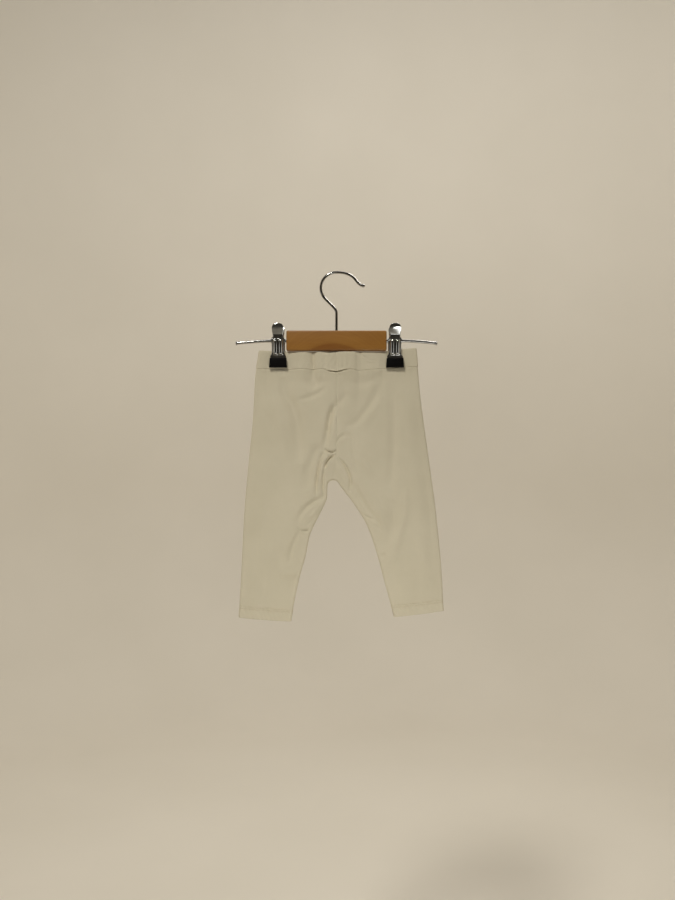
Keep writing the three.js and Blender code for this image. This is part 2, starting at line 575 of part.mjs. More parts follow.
// side is -1 for the front jaw and 1 for the back one, whose ears sit inside the front's
function makeJaw(side) {
  const earX = side < 0 ? EAR.frontX : EAR.backX;
  const rodCentre = new THREE.Vector3(0, 0, BAR.z);
  return toSolid(wall(jawRows(side)))
    .add(ear(earX, side))
    .add(ear(-earX - SHEET, side))
    .subtract(roundRod("x", ROD.radius + BORE_ROOM, 2 * CLIP_X, rodCentre));
}

// The spring between the ears, as one sleeve round the rod
function makeSpring() {
  const { radius, half } = SPRING;
  const inner = ROD.radius + BORE_ROOM;
  const corners = [[inner, -half], [radius, -half], [radius, half], [inner, half], [inner, -half]];
  const profile = corners.map(([r, y]) => new THREE.Vector2(r, y));
  const turn = new THREE.Matrix4().makeRotationZ(Math.PI / 2).setPosition(0, 0, BAR.z);
  return toSolid(new THREE.LatheGeometry(profile, 16), turn);
}

// A rubber pad: wider at the bottom, with a pocket for the jaw's tongue
function makePad(side) {
  const { top, bottom, topHalf, bottomHalf, face, depth, bevel } = PAD;
  const shape = new THREE.Shape();
  shape.moveTo(-bottomHalf + bevel, bottom + bevel);
  shape.lineTo(bottomHalf - bevel, bottom + bevel);
  shape.lineTo(topHalf - bevel, top - bevel);
  shape.lineTo(-topHalf + bevel, top - bevel);
  const block = new THREE.ExtrudeGeometry(shape, {
    depth: depth - 2 * bevel, bevelThickness: bevel, bevelSize: bevel, bevelSegments: 2,
  });
  const place = new THREE.Matrix4().makeBasis(AXIS.x, AXIS.z, AXIS.y.clone().negate());
  const near = side < 0 ? -face - bevel : face + depth - bevel;
  const tongue = JAW[JAW.length - 1];
  const pocketTop = top + 1;
  const pocketBottom = tongue.z - 2 * BORE_ROOM;
  const pocket = new THREE.BoxGeometry(
    2 * (JAW[JAW.length - 2].half + BORE_ROOM), SHEET + 2 * BORE_ROOM, pocketTop - pocketBottom);
  return toSolid(block, place.setPosition(0, near, 0))
    .subtract(toSolid(pocket, moved(0, side * tongue.out, (pocketTop + pocketBottom) / 2)));
}

// The scene graph: each piece is its own named mesh
const paint = (color, roughness, metalness = 0) =>
  new THREE.MeshStandardMaterial({ color, roughness, metalness, flatShading: true });
const JERSEY = paint(0xe6dfcd, 0.9);
const BEECH = paint(0xb07a3c, 0.4);
const CHROME = paint(0xc8c8c8, 0.15, 1);
const RUBBER = paint(0x0b0b0b, 0.5);

function piece(name, geometry, material) {
  const mesh = new THREE.Mesh(geometry, material);
  mesh.name = name;
  return mesh;
}
const solidPiece = (name, solid, material) => piece(name, toGeometry(solid), material);

const leggings = new THREE.Group();
leggings.add(piece("right_leg", wall(legRows(LEGS.right)), JERSEY));
leggings.add(piece("left_leg", wall(legRows(LEGS.left)), JERSEY));
leggings.add(piece("waistband", wall(bandRows()), JERSEY));

const hanger = new THREE.Group();
hanger.add(solidPiece("hanger_bar", makeBar(), BEECH));
hanger.add(solidPiece("hanger_rod", makeRod(), CHROME));
hanger.add(solidPiece("hanger_hook", makeHook(), CHROME));
for (const [name, x] of [["right_clip", -CLIP_X], ["left_clip", CLIP_X]]) {
  const clip = new THREE.Group();
  clip.position.x = x;
  clip.add(solidPiece(`${name}_front_jaw`, makeJaw(-1), CHROME));
  clip.add(solidPiece(`${name}_back_jaw`, makeJaw(1), CHROME));
  clip.add(solidPiece(`${name}_spring`, makeSpring(), CHROME));
  clip.add(solidPiece(`${name}_front_pad`, makePad(-1), RUBBER));
  clip.add(solidPiece(`${name}_back_pad`, makePad(1), RUBBER));
  hanger.add(clip);
}

const model = new THREE.Group();
model.add(leggings, hanger);
export default model;
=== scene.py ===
import math

import bmesh
import bpy
import numpy as np
from mathutils import Matrix, Vector, noise


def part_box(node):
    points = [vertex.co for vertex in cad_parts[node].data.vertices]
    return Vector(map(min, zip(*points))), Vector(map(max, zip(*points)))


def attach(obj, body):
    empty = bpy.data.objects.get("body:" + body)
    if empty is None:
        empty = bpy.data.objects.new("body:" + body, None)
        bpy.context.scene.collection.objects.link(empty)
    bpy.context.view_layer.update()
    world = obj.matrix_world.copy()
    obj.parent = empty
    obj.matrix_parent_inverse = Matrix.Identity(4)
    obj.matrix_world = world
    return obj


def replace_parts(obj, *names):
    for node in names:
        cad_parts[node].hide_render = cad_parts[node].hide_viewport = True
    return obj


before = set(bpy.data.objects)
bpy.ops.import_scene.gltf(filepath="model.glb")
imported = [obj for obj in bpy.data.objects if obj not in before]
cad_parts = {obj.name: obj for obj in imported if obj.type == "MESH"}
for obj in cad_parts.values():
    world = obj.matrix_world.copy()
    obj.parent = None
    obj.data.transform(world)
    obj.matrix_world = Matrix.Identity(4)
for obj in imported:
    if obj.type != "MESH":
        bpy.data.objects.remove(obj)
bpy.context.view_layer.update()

# The camera: level, square to the front of the leggings and aimed at the middle of the picture.
# From where it stands, the picture is 1.17 m high at the plane of the cloth.
picture_height = 1.17
camera_distance = 1.2
picture_middle = (0.0013, -0.2292)


def placed(name, data):
    made = bpy.data.objects.new(name, data)
    bpy.context.scene.collection.objects.link(made)
    return made


camera_data = bpy.data.cameras.new("photo_camera")
camera_data.sensor_width = 36
camera_data.lens = camera_data.sensor_width * camera_distance / picture_height
camera = placed("photo_camera", camera_data)
camera.location = (picture_middle[0], -camera_distance, picture_middle[1])
camera.rotation_euler = (math.pi / 2, 0, 0)
bpy.context.scene.camera = camera

# The studio: a pale warm round sweep whose floor curves up into a low wall, open above, with
# soft lamps round the hanging leggings. Towards the camera its paint turns dark, which gives the
# plated steel something dark to mirror. None of it belongs to the object.
sweep_radius, sweep_hub = 2.6, 0.02
sweep_floor, sweep_wall_top = -1.15, 2.5
cove_radius, cove_steps = 0.8, 12
sweep_sides = 96
paint_pale_until, paint_dark_from = 0.1, -1.6
dark_paint = (0.08, 0.074, 0.064, 1)
spot_spread = math.radians(54)


def mesh_object(name, points, faces, smooth=True):
    data = bpy.data.meshes.new(name)
    data.from_pydata([tuple(p) for p in points], [], faces)
    data.validate()
    data.polygons.foreach_set("use_smooth", [smooth] * len(data.polygons))
    return placed(name, data)


def tube_faces(rows, sides):
    faces = []
    for row in range(rows):
        for k in range(sides):
            here, beside = row * sides + k, row * sides + (k + 1) % sides
            faces.append((here, beside, beside + sides, here + sides))
    return faces


def new_material(name):
    material = bpy.data.materials.new(name)
    material.use_nodes = True
    tree = material.node_tree
    place = tree.nodes.new("ShaderNodeTexCoord").outputs["Object"]
    return material, tree, tree.nodes["Principled BSDF"], place


def give(tree, node, **inputs):
    for key, value in inputs.items():
        socket = node.inputs[int(key[2:]) if key.startswith("at") else key.replace("_", " ")]
        if isinstance(value, bpy.types.NodeSocket):
            tree.links.new(value, socket)
        else:
            socket.default_value = value
    return node


def add_node(tree, kind, settings=(), **inputs):
    made = tree.nodes.new(kind)
    for key, value in dict(settings).items():
        setattr(made, key, value)
    return give(tree, made, **inputs)


def clouds(tree, place, scale, detail, roughness=0.5):
    made = add_node(tree, "ShaderNodeTexNoise", Vector=place, Scale=scale, Detail=detail, Roughness=roughness)
    return made.outputs["Fac"]


def toned(tree, share, first, last, starts=0, ends=1):
    ramp = add_node(tree, "ShaderNodeValToRGB", Fac=share)
    for stop, position, colour in zip(ramp.color_ramp.elements, (starts, ends), (first, last)):
        stop.position = position
        stop.color = colour
    return ramp.outputs["Color"]


def linear(red, green, blue):
    def channel(value):
        value /= 255
        return value / 12.92 if value <= 0.04045 else ((value + 0.055) / 1.055) ** 2.4

    return (channel(red), channel(green), channel(blue), 1)


sweep_profile = [(sweep_hub, sweep_floor), (sweep_radius - cove_radius, sweep_floor)]
for step in range(1, cove_steps + 1):
    turn = math.pi / 2 * step / cove_steps
    reach = sweep_radius - cove_radius + cove_radius * math.sin(turn)
    sweep_profile.append((reach, sweep_floor + cove_radius * (1 - math.cos(turn))))
sweep_profile.append((sweep_radius, sweep_wall_top))
sweep_turns = [2 * math.pi * k / sweep_sides for k in range(sweep_sides)]
sweep_points = [(r * math.cos(turn), r * math.sin(turn), z) for r, z in sweep_profile for turn in sweep_turns]
sweep_faces = tube_faces(len(sweep_profile) - 1, sweep_sides)
sweep_faces.append(tuple(range(sweep_sides - 1, -1, -1)))
sweep = mesh_object("pale_sweep", sweep_points, sweep_faces)
sweep_paint, tree, shader, place = new_material("pale_paint")
front_to_back = add_node(tree, "ShaderNodeSeparateXYZ", Vector=place).outputs["Y"]
darkening = add_node(
    tree, "ShaderNodeMapRange", {"interpolation_type": "SMOOTHSTEP"}, Value=front_to_back,
    From_Min=paint_pale_until, From_Max=paint_dark_from,
)
pale_paint = toned(tree, clouds(tree, place, 2.5, 3.0), linear(222, 215, 201), linear(230, 223, 210))
paint = add_node(
    tree, "ShaderNodeMix", {"data_type": "RGBA"}, at0=darkening.outputs["Result"], at6=pale_paint,
    at7=dark_paint,
)
give(tree, shader, Base_Color=paint.outputs[2], Roughness=0.9)
sweep.data.materials.append(sweep_paint)

lamps = [
    # name, kind, place, what it points at, size, watts, colour
    ("key_lamp", "AREA", (-0.85, -2, 2.1), (0, 0, -0.35), 0.6, 48, (1, 0.975, 0.9)),
    ("left_lamp", "AREA", (-1.6, -0.9, -0.25), (0, 0, -0.1), 0.6, 0.9, (1, 0.985, 0.95)),
    ("right_lamp", "AREA", (1.6, -0.9, -0.25), (0, 0, -0.1), 0.6, 0.9, (1, 0.985, 0.95)),
    ("low_lamp", "SPOT", (0.3, -0.8, -1), (0, 0, -0.5), 0.25, 17, (1, 0.99, 0.95)),
    ("back_lamp", "AREA", (0.5, 0.6, 0.8), (0, 0, -0.3), 0.5, 7, (1, 0.98, 0.94)),
    ("wall_lamp", "AREA", (0.2, 0.9, 1.4), (0.3, 2.6, -0.6), 1.4, 13.5, (1, 0.985, 0.965)),
]
for name, kind, place, target, size, watts, colour in lamps:
    lamp_data = bpy.data.lights.new(name, kind)
    if kind == "AREA":
        lamp_data.shape = "DISK"
        lamp_data.size = size
    else:
        lamp_data.shadow_soft_size = size
        lamp_data.spot_size = spot_spread
        lamp_data.spot_blend = 1
    lamp_data.energy = watts
    lamp_data.color = colour
    lamp = placed(name, lamp_data)
    lamp.location = place
    lamp.rotation_euler = (Vector(target) - Vector(place)).to_track_quat("-Z", "Y").to_euler()
    lamp.visible_camera = False
world = bpy.data.worlds.new("pale_air")
world.use_nodes = True
air = world.node_tree.nodes["Background"]
give(world.node_tree, air, Color=(0.92, 0.87, 0.79, 1), Strength=0.27)
bpy.context.scene.world = world
bpy.context.scene.view_settings.view_transform = "Standard"

# The hook: one piece of plated steel wire, bent to a long stem, a slanting stretch and a round
# crown, with a ball pressed on its end. The stem is pushed into the wooden bar from above.
mm = 0.001
wire_radius = 1.75 * mm
crown_radius = 20.4 * mm
stem_foot = -83 * mm
kink_bend = 5 * mm
stem_steps, crown_steps = 6, 48
arc_start = 1.25 * math.pi
crown_end, hook_tip = (25.5, -9), (34.8, -15.6)
ball_radius = 2.4 * mm


def bezier(points, count):
    ends = [Vector((x * mm, 0, z * mm)) for x, z in points]
    made = []
    for step in range(count + 1):
        t = step / count
        layer = ends
        while len(layer) > 1:
            layer = [a.lerp(b, t) for a, b in zip(layer, layer[1:])]
        made.append(layer[0])
    return made


def swept_tube(name, points, radii, sides=20):
    points = [Vector(p) for p in points]
    last = len(points) - 1
    tangents = [(points[min(last, k + 1)] - points[max(0, k - 1)]).normalized() for k in range(last + 1)]
    side = tangents[0].orthogonal().normalized()
    rings = []
    for point, tangent, radius in zip(points, tangents, radii):
        side = (side - tangent * side.dot(tangent)).normalized()
        across = tangent.cross(side)
        for k in range(sides):
            turn = 2 * math.pi * k / sides
            rings.append(point + (side * math.cos(turn) + across * math.sin(turn)) * radius)
    faces = tube_faces(last, sides)
    faces.append(tuple(range(sides - 1, -1, -1)))
    faces.append(tuple(last * sides + k for k in range(sides)))
    return mesh_object(name, rings, faces)


def bumped(tree, height, strength, distance, **rest):
    made = add_node(tree, "ShaderNodeBump", Height=height, Strength=strength, Distance=distance, **rest)
    return made.outputs["Normal"]


def plated_steel(name, tone, roughness, streak_scale):
    material, tree, shader, place = new_material(name)
    streaks = clouds(tree, place, streak_scale, 5.0, 0.6)
    dull_tone = tuple(c * 0.72 for c in tone) + (1,)
    tones = toned(tree, streaks, dull_tone, tuple(tone) + (1,), 0.35, 0.7)
    gloss = add_node(
        tree, "ShaderNodeMapRange", Value=streaks, To_Min=roughness * 0.6, To_Max=roughness * 1.6
    ).outputs["Result"]
    pits = bumped(tree, clouds(tree, place, 900.0, 3.0), 0.12, 0.0002)
    give(tree, shader, Base_Color=tones, Metallic=1, Roughness=gloss, Normal=pits)
    return material


wire_steel = plated_steel("plated_wire", (0.42, 0.41, 0.39), 0.1, 160.0)
crown_middle = wire_radius - crown_radius
slant_top = (crown_radius * math.cos(arc_start), crown_middle + crown_radius * math.sin(arc_start))
kink = (0, slant_top[1] + slant_top[0])
slant_foot = (-kink_bend * math.sqrt(0.5), kink[1] + kink_bend * math.sqrt(0.5))
stem_top = (0, kink[1] - kink_bend)
stem_length = stem_top[1] - stem_foot
hook_path = [Vector((0, 0, stem_foot + stem_length * k / stem_steps)) for k in range(stem_steps)]
hook_path += bezier([(x / mm, z / mm) for x, z in (stem_top, kink, slant_foot)], 10)
hook_path += [
    Vector((slant_foot[0], 0, slant_foot[1])).lerp(Vector((slant_top[0], 0, slant_top[1])), k / 4)
    for k in range(1, 4)
]
for step in range(crown_steps + 1):
    turn = arc_start + (math.pi / 2 - arc_start) * step / crown_steps
    hook_path.append(Vector((crown_radius * math.cos(turn), 0, crown_middle + crown_radius * math.sin(turn))))
hook_path += bezier([(0, 1.75), (9, 1.75), (19, 0.2), crown_end], 22)[1:]
hook_path += bezier([crown_end, (31, -16), hook_tip], 12)[1:]
hook = swept_tube("hook_wire", hook_path, [wire_radius] * len(hook_path))
ball = bmesh.new()
ball_place = Matrix.Translation((hook_tip[0] * mm, 0, hook_tip[1] * mm))
bmesh.ops.create_uvsphere(ball, u_segments=24, v_segments=16, radius=ball_radius, matrix=ball_place)
ball.from_mesh(hook.data)
ball.to_mesh(hook.data)
ball.free()
hook.data.shade_smooth()
hook.data.materials.append(wire_steel)
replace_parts(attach(hook, "root"), "hanger_hook")

# The bar: a plain length of light hardwood, its edges eased and its faces oiled. It is bored
# from end to end for the rod, and from above for the hook's stem.
bar_low, bar_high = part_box("hanger_bar")
eased_edge = 2 * mm
rod_radius = 2 * mm
rod_height = (bar_low.z + bar_high.z) / 2
bore_room = 0.3 * mm
past_bar_end, above_bar = 0.1, -0.05
arch_shift, arch_bend, arch_waver = 0.004, 8.8, 0.0022
dark_arch_top, dark_arch_middle = -0.0896, -0.0912


def settled(made):
    evaluated = made.evaluated_get(bpy.context.evaluated_depsgraph_get())
    data = bpy.data.meshes.new_from_object(evaluated)
    made.modifiers.clear()
    made.data = data
    return made


def finished(made, kind, **settings):
    modifier = made.modifiers.new(kind.lower(), kind)
    for key, value in settings.items():
        setattr(modifier, key, value)
    return settled(made)


def cut_away(made, cutter):
    finished(made, "BOOLEAN", object=cutter, operation="DIFFERENCE", solver="EXACT")
    bpy.data.objects.remove(cutter)


def smoothed(made, sharp_from):
    made.data.shade_smooth()
    made.data.set_sharp_from_angle(angle=math.radians(sharp_from))


def from_bmesh(name, built):
    data = bpy.data.meshes.new(name)
    built.to_mesh(data)
    built.free()
    return placed(name, data)


def block(name, size, middle):
    built = bmesh.new()
    bmesh.ops.create_cube(built, size=1)
    bmesh.ops.scale(built, vec=size, verts=built.verts)
    bmesh.ops.translate(built, vec=middle, verts=built.verts)
    return from_bmesh(name, built)


def closed_rod(name, start, end, radius):
    return swept_tube(name, [start, end], [radius, radius], 32)


def stretched(tree, place, scale):
    return add_node(tree, "ShaderNodeMapping", Vector=place, Scale=scale).outputs["Vector"]


def calc(tree, operation, *values):
    inputs = {f"at{k}": value for k, value in enumerate(values)}
    return add_node(tree, "ShaderNodeMath", {"operation": operation}, **inputs).outputs["Value"]


bar = block("wooden_bar", bar_high - bar_low, (bar_high + bar_low) / 2)
finished(bar, "BEVEL", width=eased_edge, segments=5, limit_method="NONE")
rod_bore = closed_rod(
    "rod_bore", (-past_bar_end, 0, rod_height), (past_bar_end, 0, rod_height), rod_radius + bore_room
)
stem_hole = closed_rod("stem_hole", (0, 0, stem_foot - bore_room), (0, 0, above_bar), wire_radius + bore_room)
bpy.context.view_layer.update()
for cutter in (rod_bore, stem_hole):
    cut_away(bar, cutter)
smoothed(bar, 50)

bar_wood, tree, shader, place = new_material("oiled_hardwood")
# The growth rings of a plain-sawn board run as flat arches, whose darkest lies low near its middle
along = add_node(tree, "ShaderNodeSeparateXYZ", Vector=place).outputs
from_middle = calc(tree, "ADD", along["X"], arch_shift)
arch = calc(tree, "MULTIPLY", from_middle, from_middle)
arch = calc(tree, "MULTIPLY_ADD", arch, arch_bend, along["Z"])
wobble = clouds(tree, stretched(tree, place, (22, 60, 60)), 1.0, 3.0)
arch = calc(tree, "MULTIPLY_ADD", wobble, arch_waver, arch)
dark_arch = add_node(
    tree, "ShaderNodeMapRange", Value=arch, From_Min=dark_arch_top, From_Max=dark_arch_middle, To_Max=0.3
).outputs["Result"]
ring_place = add_node(tree, "ShaderNodeCombineXYZ", X=along["X"], Y=along["Y"], Z=arch).outputs["Vector"]
rings = clouds(tree, stretched(tree, ring_place, (3, 90, 420)), 1.0, 2.5)
pores = clouds(tree, stretched(tree, place, (14, 320, 320)), 3.0, 6.0, 0.65)
patches = clouds(tree, stretched(tree, place, (10, 40, 40)), 1.6, 3.0)
grain = calc(tree, "MULTIPLY", rings, 0.32)
grain = calc(tree, "MULTIPLY_ADD", pores, 0.3, grain)
grain = calc(tree, "MULTIPLY_ADD", patches, 0.38, grain)
grain = calc(tree, "SUBTRACT", grain, dark_arch)
tones = toned(tree, grain, linear(134, 82, 22), linear(172, 121, 50), 0.12, 0.72)
give(
    tree, shader, Base_Color=tones, Roughness=0.48, Coat_Weight=0.12, Coat_Roughness=0.3,
    Normal=bumped(tree, pores, 0.2, 0.0003),
)
bar.data.materials.clear()
bar.data.materials.append(bar_wood)
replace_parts(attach(bar, "root"), "hanger_bar")

# The rod: a straight plated steel rod through the bar, on which both clips slide. Its free ends
# droop a little, and each is headed over into a small stop.
rod_end, rod_straight, rod_droop = 131 * mm, 84.7 * mm, 3 * mm
droop_length = rod_end - mm - rod_straight
stop_length = 2.6 * mm
rod_steps = 120


def droop_at(x):
    past = max(0, (abs(x) - rod_straight) / droop_length)
    return rod_droop * min(1, past) ** 1.6


# How far in from the rod's end, and the stop's radius there
stop_profile = [(0, 1.6), (0.25, 2.5), (0.8, 3), (1.5, 3), (1.9, 2.7), (2.1, 2.05)]
rod_run = [((-rod_end + d * mm, 0, rod_height - rod_droop), r * mm) for d, r in stop_profile]
for step in range(rod_steps + 1):
    x = -rod_end + 2 * rod_end * step / rod_steps
    if abs(x) < rod_end - stop_length:
        rod_run.append(((x, 0, rod_height - droop_at(x)), rod_radius))
rod_run += [((rod_end - d * mm, 0, rod_height - rod_droop), r * mm) for d, r in reversed(stop_profile)]
rod = swept_tube("steel_rod", [p for p, r in rod_run], [r for p, r in rod_run], 24)
smoothed(rod, 45)
rod.data.materials.append(plated_steel("plated_rod", (0.58, 0.57, 0.55), 0.14, 90.0))
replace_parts(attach(rod, "root"), "hanger_rod")

# The clips: two pressed steel jaws on each, plated, which turn on the rod and are held shut by
# a coil spring. Each jaw ends above in a finger tab and below in a black rubber pad.
clip_places = {"right_clip": -75.7, "left_clip": 75.7}
jaw_table = [
    # height, distance from the middle, half width, rib height, flange depth, doming
    (-66.2, 13, 1.6, 0, 0, 0.2),
    (-66.8, 13.1, 3.8, 0, 0, 0.3),
    (-68, 12.8, 5.7, 0, 0, 0.4),
    (-69.8, 12.2, 6.9, 0, 0, 0.4),
    (-72, 11.2, 7.4, 0, 0, 0.4),
    (-75, 9.6, 7.3, 0, 0, 0.3),
    (-78.2, 7.9, 6.8, 0, 0.7, 0.1),
    (-80, 7, 6.6, 0, 1.4, 0),
    (-83.4, 6.7, 6.7, 0, 2.4, 0),
    (-85.6, 6.9, 7.4, 0, 3, 0),
    (-86.1, 7, 7.6, 0.3, 3.2, 0),
    (-86.9, 7, 7.8, 1.5, 3.4, 0),
    (-88, 7, 7.9, 1.9, 3.4, 0),
    (-103, 6.2, 8, 1.9, 2.8, 0),
    (-104.6, 6, 8.3, 1.5, 2.2, 0),
    (-105.6, 5.8, 8.7, 0.3, 1.6, 0),
    (-106.4, 5.5, 9.1, 0, 1.1, 0),
    (-108.2, 5, 9.9, 0, 0.2, 0),
    (-109.3, 4.9, 9.9, 0, 0, 0),
    (-110.4, 4.9, 8.2, 0, 0, 0),
    (-118.6, 4.9, 8, 0, 0, 0),
]
# All in millimetres, but for the share of a jaw's width from which its edges turn in
sheet_steel = 1.0
rib_place, rib_half = 3.3, 2.5
turned_from = 0.88
back_flange = 0.4
# The ears of the front jaw stand outside those of the back one and carry a round boss each
ear_places = {"front": 7.5, "back": 5.9}
ear_radius, ear_depth, ear_reach, ear_hole = 4.6, 6.6, 8, 2.3
boss_place, boss_thickness, boss_radius, boss_hole = 8.7, 1.3, 3.5, 2.2
pad_low, pad_high = -122.4, -109.8
pad_low_half, pad_high_half = 11.7, 10.7
pad_near, pad_far = 2.85, 7.45
pad_edge = 0.8
pocket_size, pocket_out, pocket_height = (17, 1.6, 11), 4.9, -113.7


def smooth_table(rows, column=1):
    rows = sorted((row[0], row[column]) for row in rows)
    x = np.array([row[0] for row in rows], float)
    y = np.array([row[1] for row in rows], float)
    steps = np.diff(y) / np.diff(x)
    before = np.concatenate([steps[:1], steps])
    after = np.concatenate([steps, steps[-1:]])
    both = before * after
    slopes = np.where(both > 0, 2 * both / np.where(before + after == 0, 1, before + after), 0)

    def value(at):
        at = np.clip(np.asarray(at, float), x[0], x[-1])
        k = np.clip(np.searchsorted(x, at, side="left") - 1, 0, len(x) - 2)
        width = x[k + 1] - x[k]
        t = (at - x[k]) / width
        bend = slopes[k] * width * t * (1 - t) ** 2 - slopes[k + 1] * width * t * t * (1 - t)
        return y[k] + (y[k + 1] - y[k]) * t * t * (3 - 2 * t) + bend

    return value


def grid_normals(middle):
    across = np.gradient(middle, axis=1)
    down = np.gradient(middle, axis=0)
    normals = np.cross(down, across)
    return normals / np.maximum(np.linalg.norm(normals, axis=2, keepdims=True), 1e-12)


def grid_plate(name, middle, half):
    rows, columns = middle.shape[:2]
    normals = grid_normals(middle)
    front = (middle + normals * half).reshape(-1, 3)
    back = (middle - normals * half).reshape(-1, 3)
    count = rows * columns
    faces = []
    for j in range(rows - 1):
        for i in range(columns - 1):
            a, b = j * columns + i, (j + 1) * columns + i
            faces.append((a, b, b + 1, a + 1))
            faces.append((count + a + 1, count + b + 1, count + b, count + a))
    rim = list(range(columns))
    rim += [j * columns + columns - 1 for j in range(1, rows)]
    rim += [(rows - 1) * columns + i for i in range(columns - 2, -1, -1)]
    rim += [j * columns for j in range(rows - 2, 0, -1)]
    for a, b in zip(rim, rim[1:] + rim[:1]):
        faces.append((a, b, count + b, count + a))
    return mesh_object(name, np.concatenate([front, back]) * mm, faces)


def clip_jaw(name, middle_x, side):
    heights = np.concatenate([
        np.linspace(-66.2, -72, 16), np.linspace(-72.6, -85, 18), np.linspace(-85.4, -89, 13),
        np.linspace(-90.5, -102, 7), np.linspace(-102.8, -110.4, 22), np.linspace(-112, -118.6, 4),
    ])
    shares = np.concatenate([
        np.linspace(-1, -turned_from, 7), np.linspace(-0.84, 0.84, 43), np.linspace(turned_from, 1, 7),
    ])
    columns = [smooth_table(jaw_table, column)(heights)[:, None] for column in range(1, 6)]
    out, half, rib, flange, dome = columns
    x = shares * half
    rib_bend = np.clip(1 - ((np.abs(x) - rib_place) / rib_half) ** 2, 0, 1)
    turned = np.clip((np.abs(shares) - turned_from) / (1 - turned_from), 0, 1)
    depth = flange if side < 0 else np.minimum(flange, back_flange)
    rounded = turned_from + (1 - turned_from) * np.sin(turned * math.pi / 2)
    x = np.sign(x) * half * np.where(turned > 0, rounded, np.abs(shares))
    y = out + rib * rib_bend ** 0.75 + dome * (1 - shares ** 2) - depth * turned ** 1.6
    z = np.broadcast_to(heights[:, None], x.shape)
    middle = np.stack([x + middle_x, side * y, z], axis=2)
    if side > 0:
        middle = middle[:, ::-1]
    return grid_plate(name, middle, sheet_steel / 2)


def pierced_plate(name, middle_x, thickness, outline, hole):
    count = len(outline)
    rings = []
    for x in (middle_x - thickness / 2, middle_x + thickness / 2):
        rings += [(x, r * math.cos(a), rod_height / mm + r * math.sin(a)) for a, r in outline]
        rings += [(x, hole * math.cos(a), rod_height / mm + hole * math.sin(a)) for a, r in outline]
    faces = []
    for k in range(count):
        n = (k + 1) % count
        faces.append((k, count + k, count + n, n))
        faces.append((2 * count + n, 3 * count + n, 3 * count + k, 2 * count + k))
        faces.append((n, 2 * count + n, 2 * count + k, k))
        faces.append((count + k, 3 * count + k, 3 * count + n, count + n))
    return mesh_object(name, np.array(rings) * mm, faces, smooth=False)


def ear_outline(side):
    outline = []
    for k in range(48):
        angle = 2 * math.pi * k / 48
        outwards, upwards = math.cos(angle) * side, abs(math.sin(angle))
        reach = ear_radius
        if outwards > 0.05:
            reach = min(ear_depth / outwards, ear_radius * 0.94 / max(0.05, upwards))
            reach = max(ear_radius, min(reach, ear_reach))
            if reach * upwards > ear_radius:
                reach = ear_radius / upwards
        outline.append((angle, reach))
    return outline


def joined(name, *parts):
    whole = bmesh.new()
    for part in parts:
        whole.from_mesh(part.data)
        bpy.data.objects.remove(part)
    bmesh.ops.recalc_face_normals(whole, faces=whole.faces)
    return from_bmesh(name, whole)


def rubber_pad(name, middle_x, side):
    pad = bmesh.new()
    corners = [
        (-pad_low_half, pad_low), (pad_low_half, pad_low),
        (pad_high_half, pad_high), (-pad_high_half, pad_high),
    ]
    lower, upper = [
        [pad.verts.new(((middle_x + x) * mm, side * out * mm, z * mm)) for x, z in corners]
        for out in (pad_near, pad_far)
    ]
    pad.faces.new(lower)
    pad.faces.new(upper[::-1])
    for k in range(4):
        n = (k + 1) % 4
        pad.faces.new((lower[k], upper[k], upper[n], lower[n]))
    bmesh.ops.recalc_face_normals(pad, faces=pad.faces)
    made = from_bmesh(name, pad)
    pocket_middle = (middle_x * mm, side * pocket_out * mm, pocket_height * mm)
    pocket = block("pad_pocket", tuple(length * mm for length in pocket_size), pocket_middle)
    finished(made, "BEVEL", width=pad_edge * mm, segments=4, limit_method="NONE")
    cut_away(made, pocket)
    smoothed(made, 50)
    return made


clip_steel = plated_steel("plated_sheet", (0.57, 0.58, 0.57), 0.07, 120.0)
pad_rubber, tree, shader, place = new_material("black_rubber")
dust = clouds(tree, place, 260.0, 4.0)
tones = toned(tree, dust, (0.002, 0.0017, 0.0015, 1), (0.006, 0.005, 0.0045, 1), 0.4, 0.8)
grit = bumped(tree, clouds(tree, place, 1500.0, 2.0), 0.3, 0.0002)
give(tree, shader, Base_Color=tones, Roughness=0.5, Specular_IOR_Level=0.12, Normal=grit)


def geometry_tree(name, inputs):
    tree = bpy.data.node_groups.new(name, "GeometryNodeTree")
    tree.interface.new_socket("Geometry", in_out="INPUT", socket_type="NodeSocketGeometry")
    identifiers = {}
    for label, (kind, value) in inputs.items():
        socket = tree.interface.new_socket(label, in_out="INPUT", socket_type=kind)
        if value is not None:
            socket.default_value = value
        identifiers[label] = socket.identifier
    tree.interface.new_socket("Geometry", in_out="OUTPUT", socket_type="NodeSocketGeometry")
    start = tree.nodes.new("NodeGroupInput")
    end = tree.nodes.new("NodeGroupOutput")
    return tree, start.outputs, end.inputs["Geometry"], identifiers


def end_tree(tree, geometry, material, result):
    real = add_node(tree, "GeometryNodeRealizeInstances", Geometry=geometry)
    made = add_node(tree, "GeometryNodeSetMaterial", Geometry=real.outputs["Geometry"], Material=material)
    tree.links.new(made.outputs["Geometry"], result)


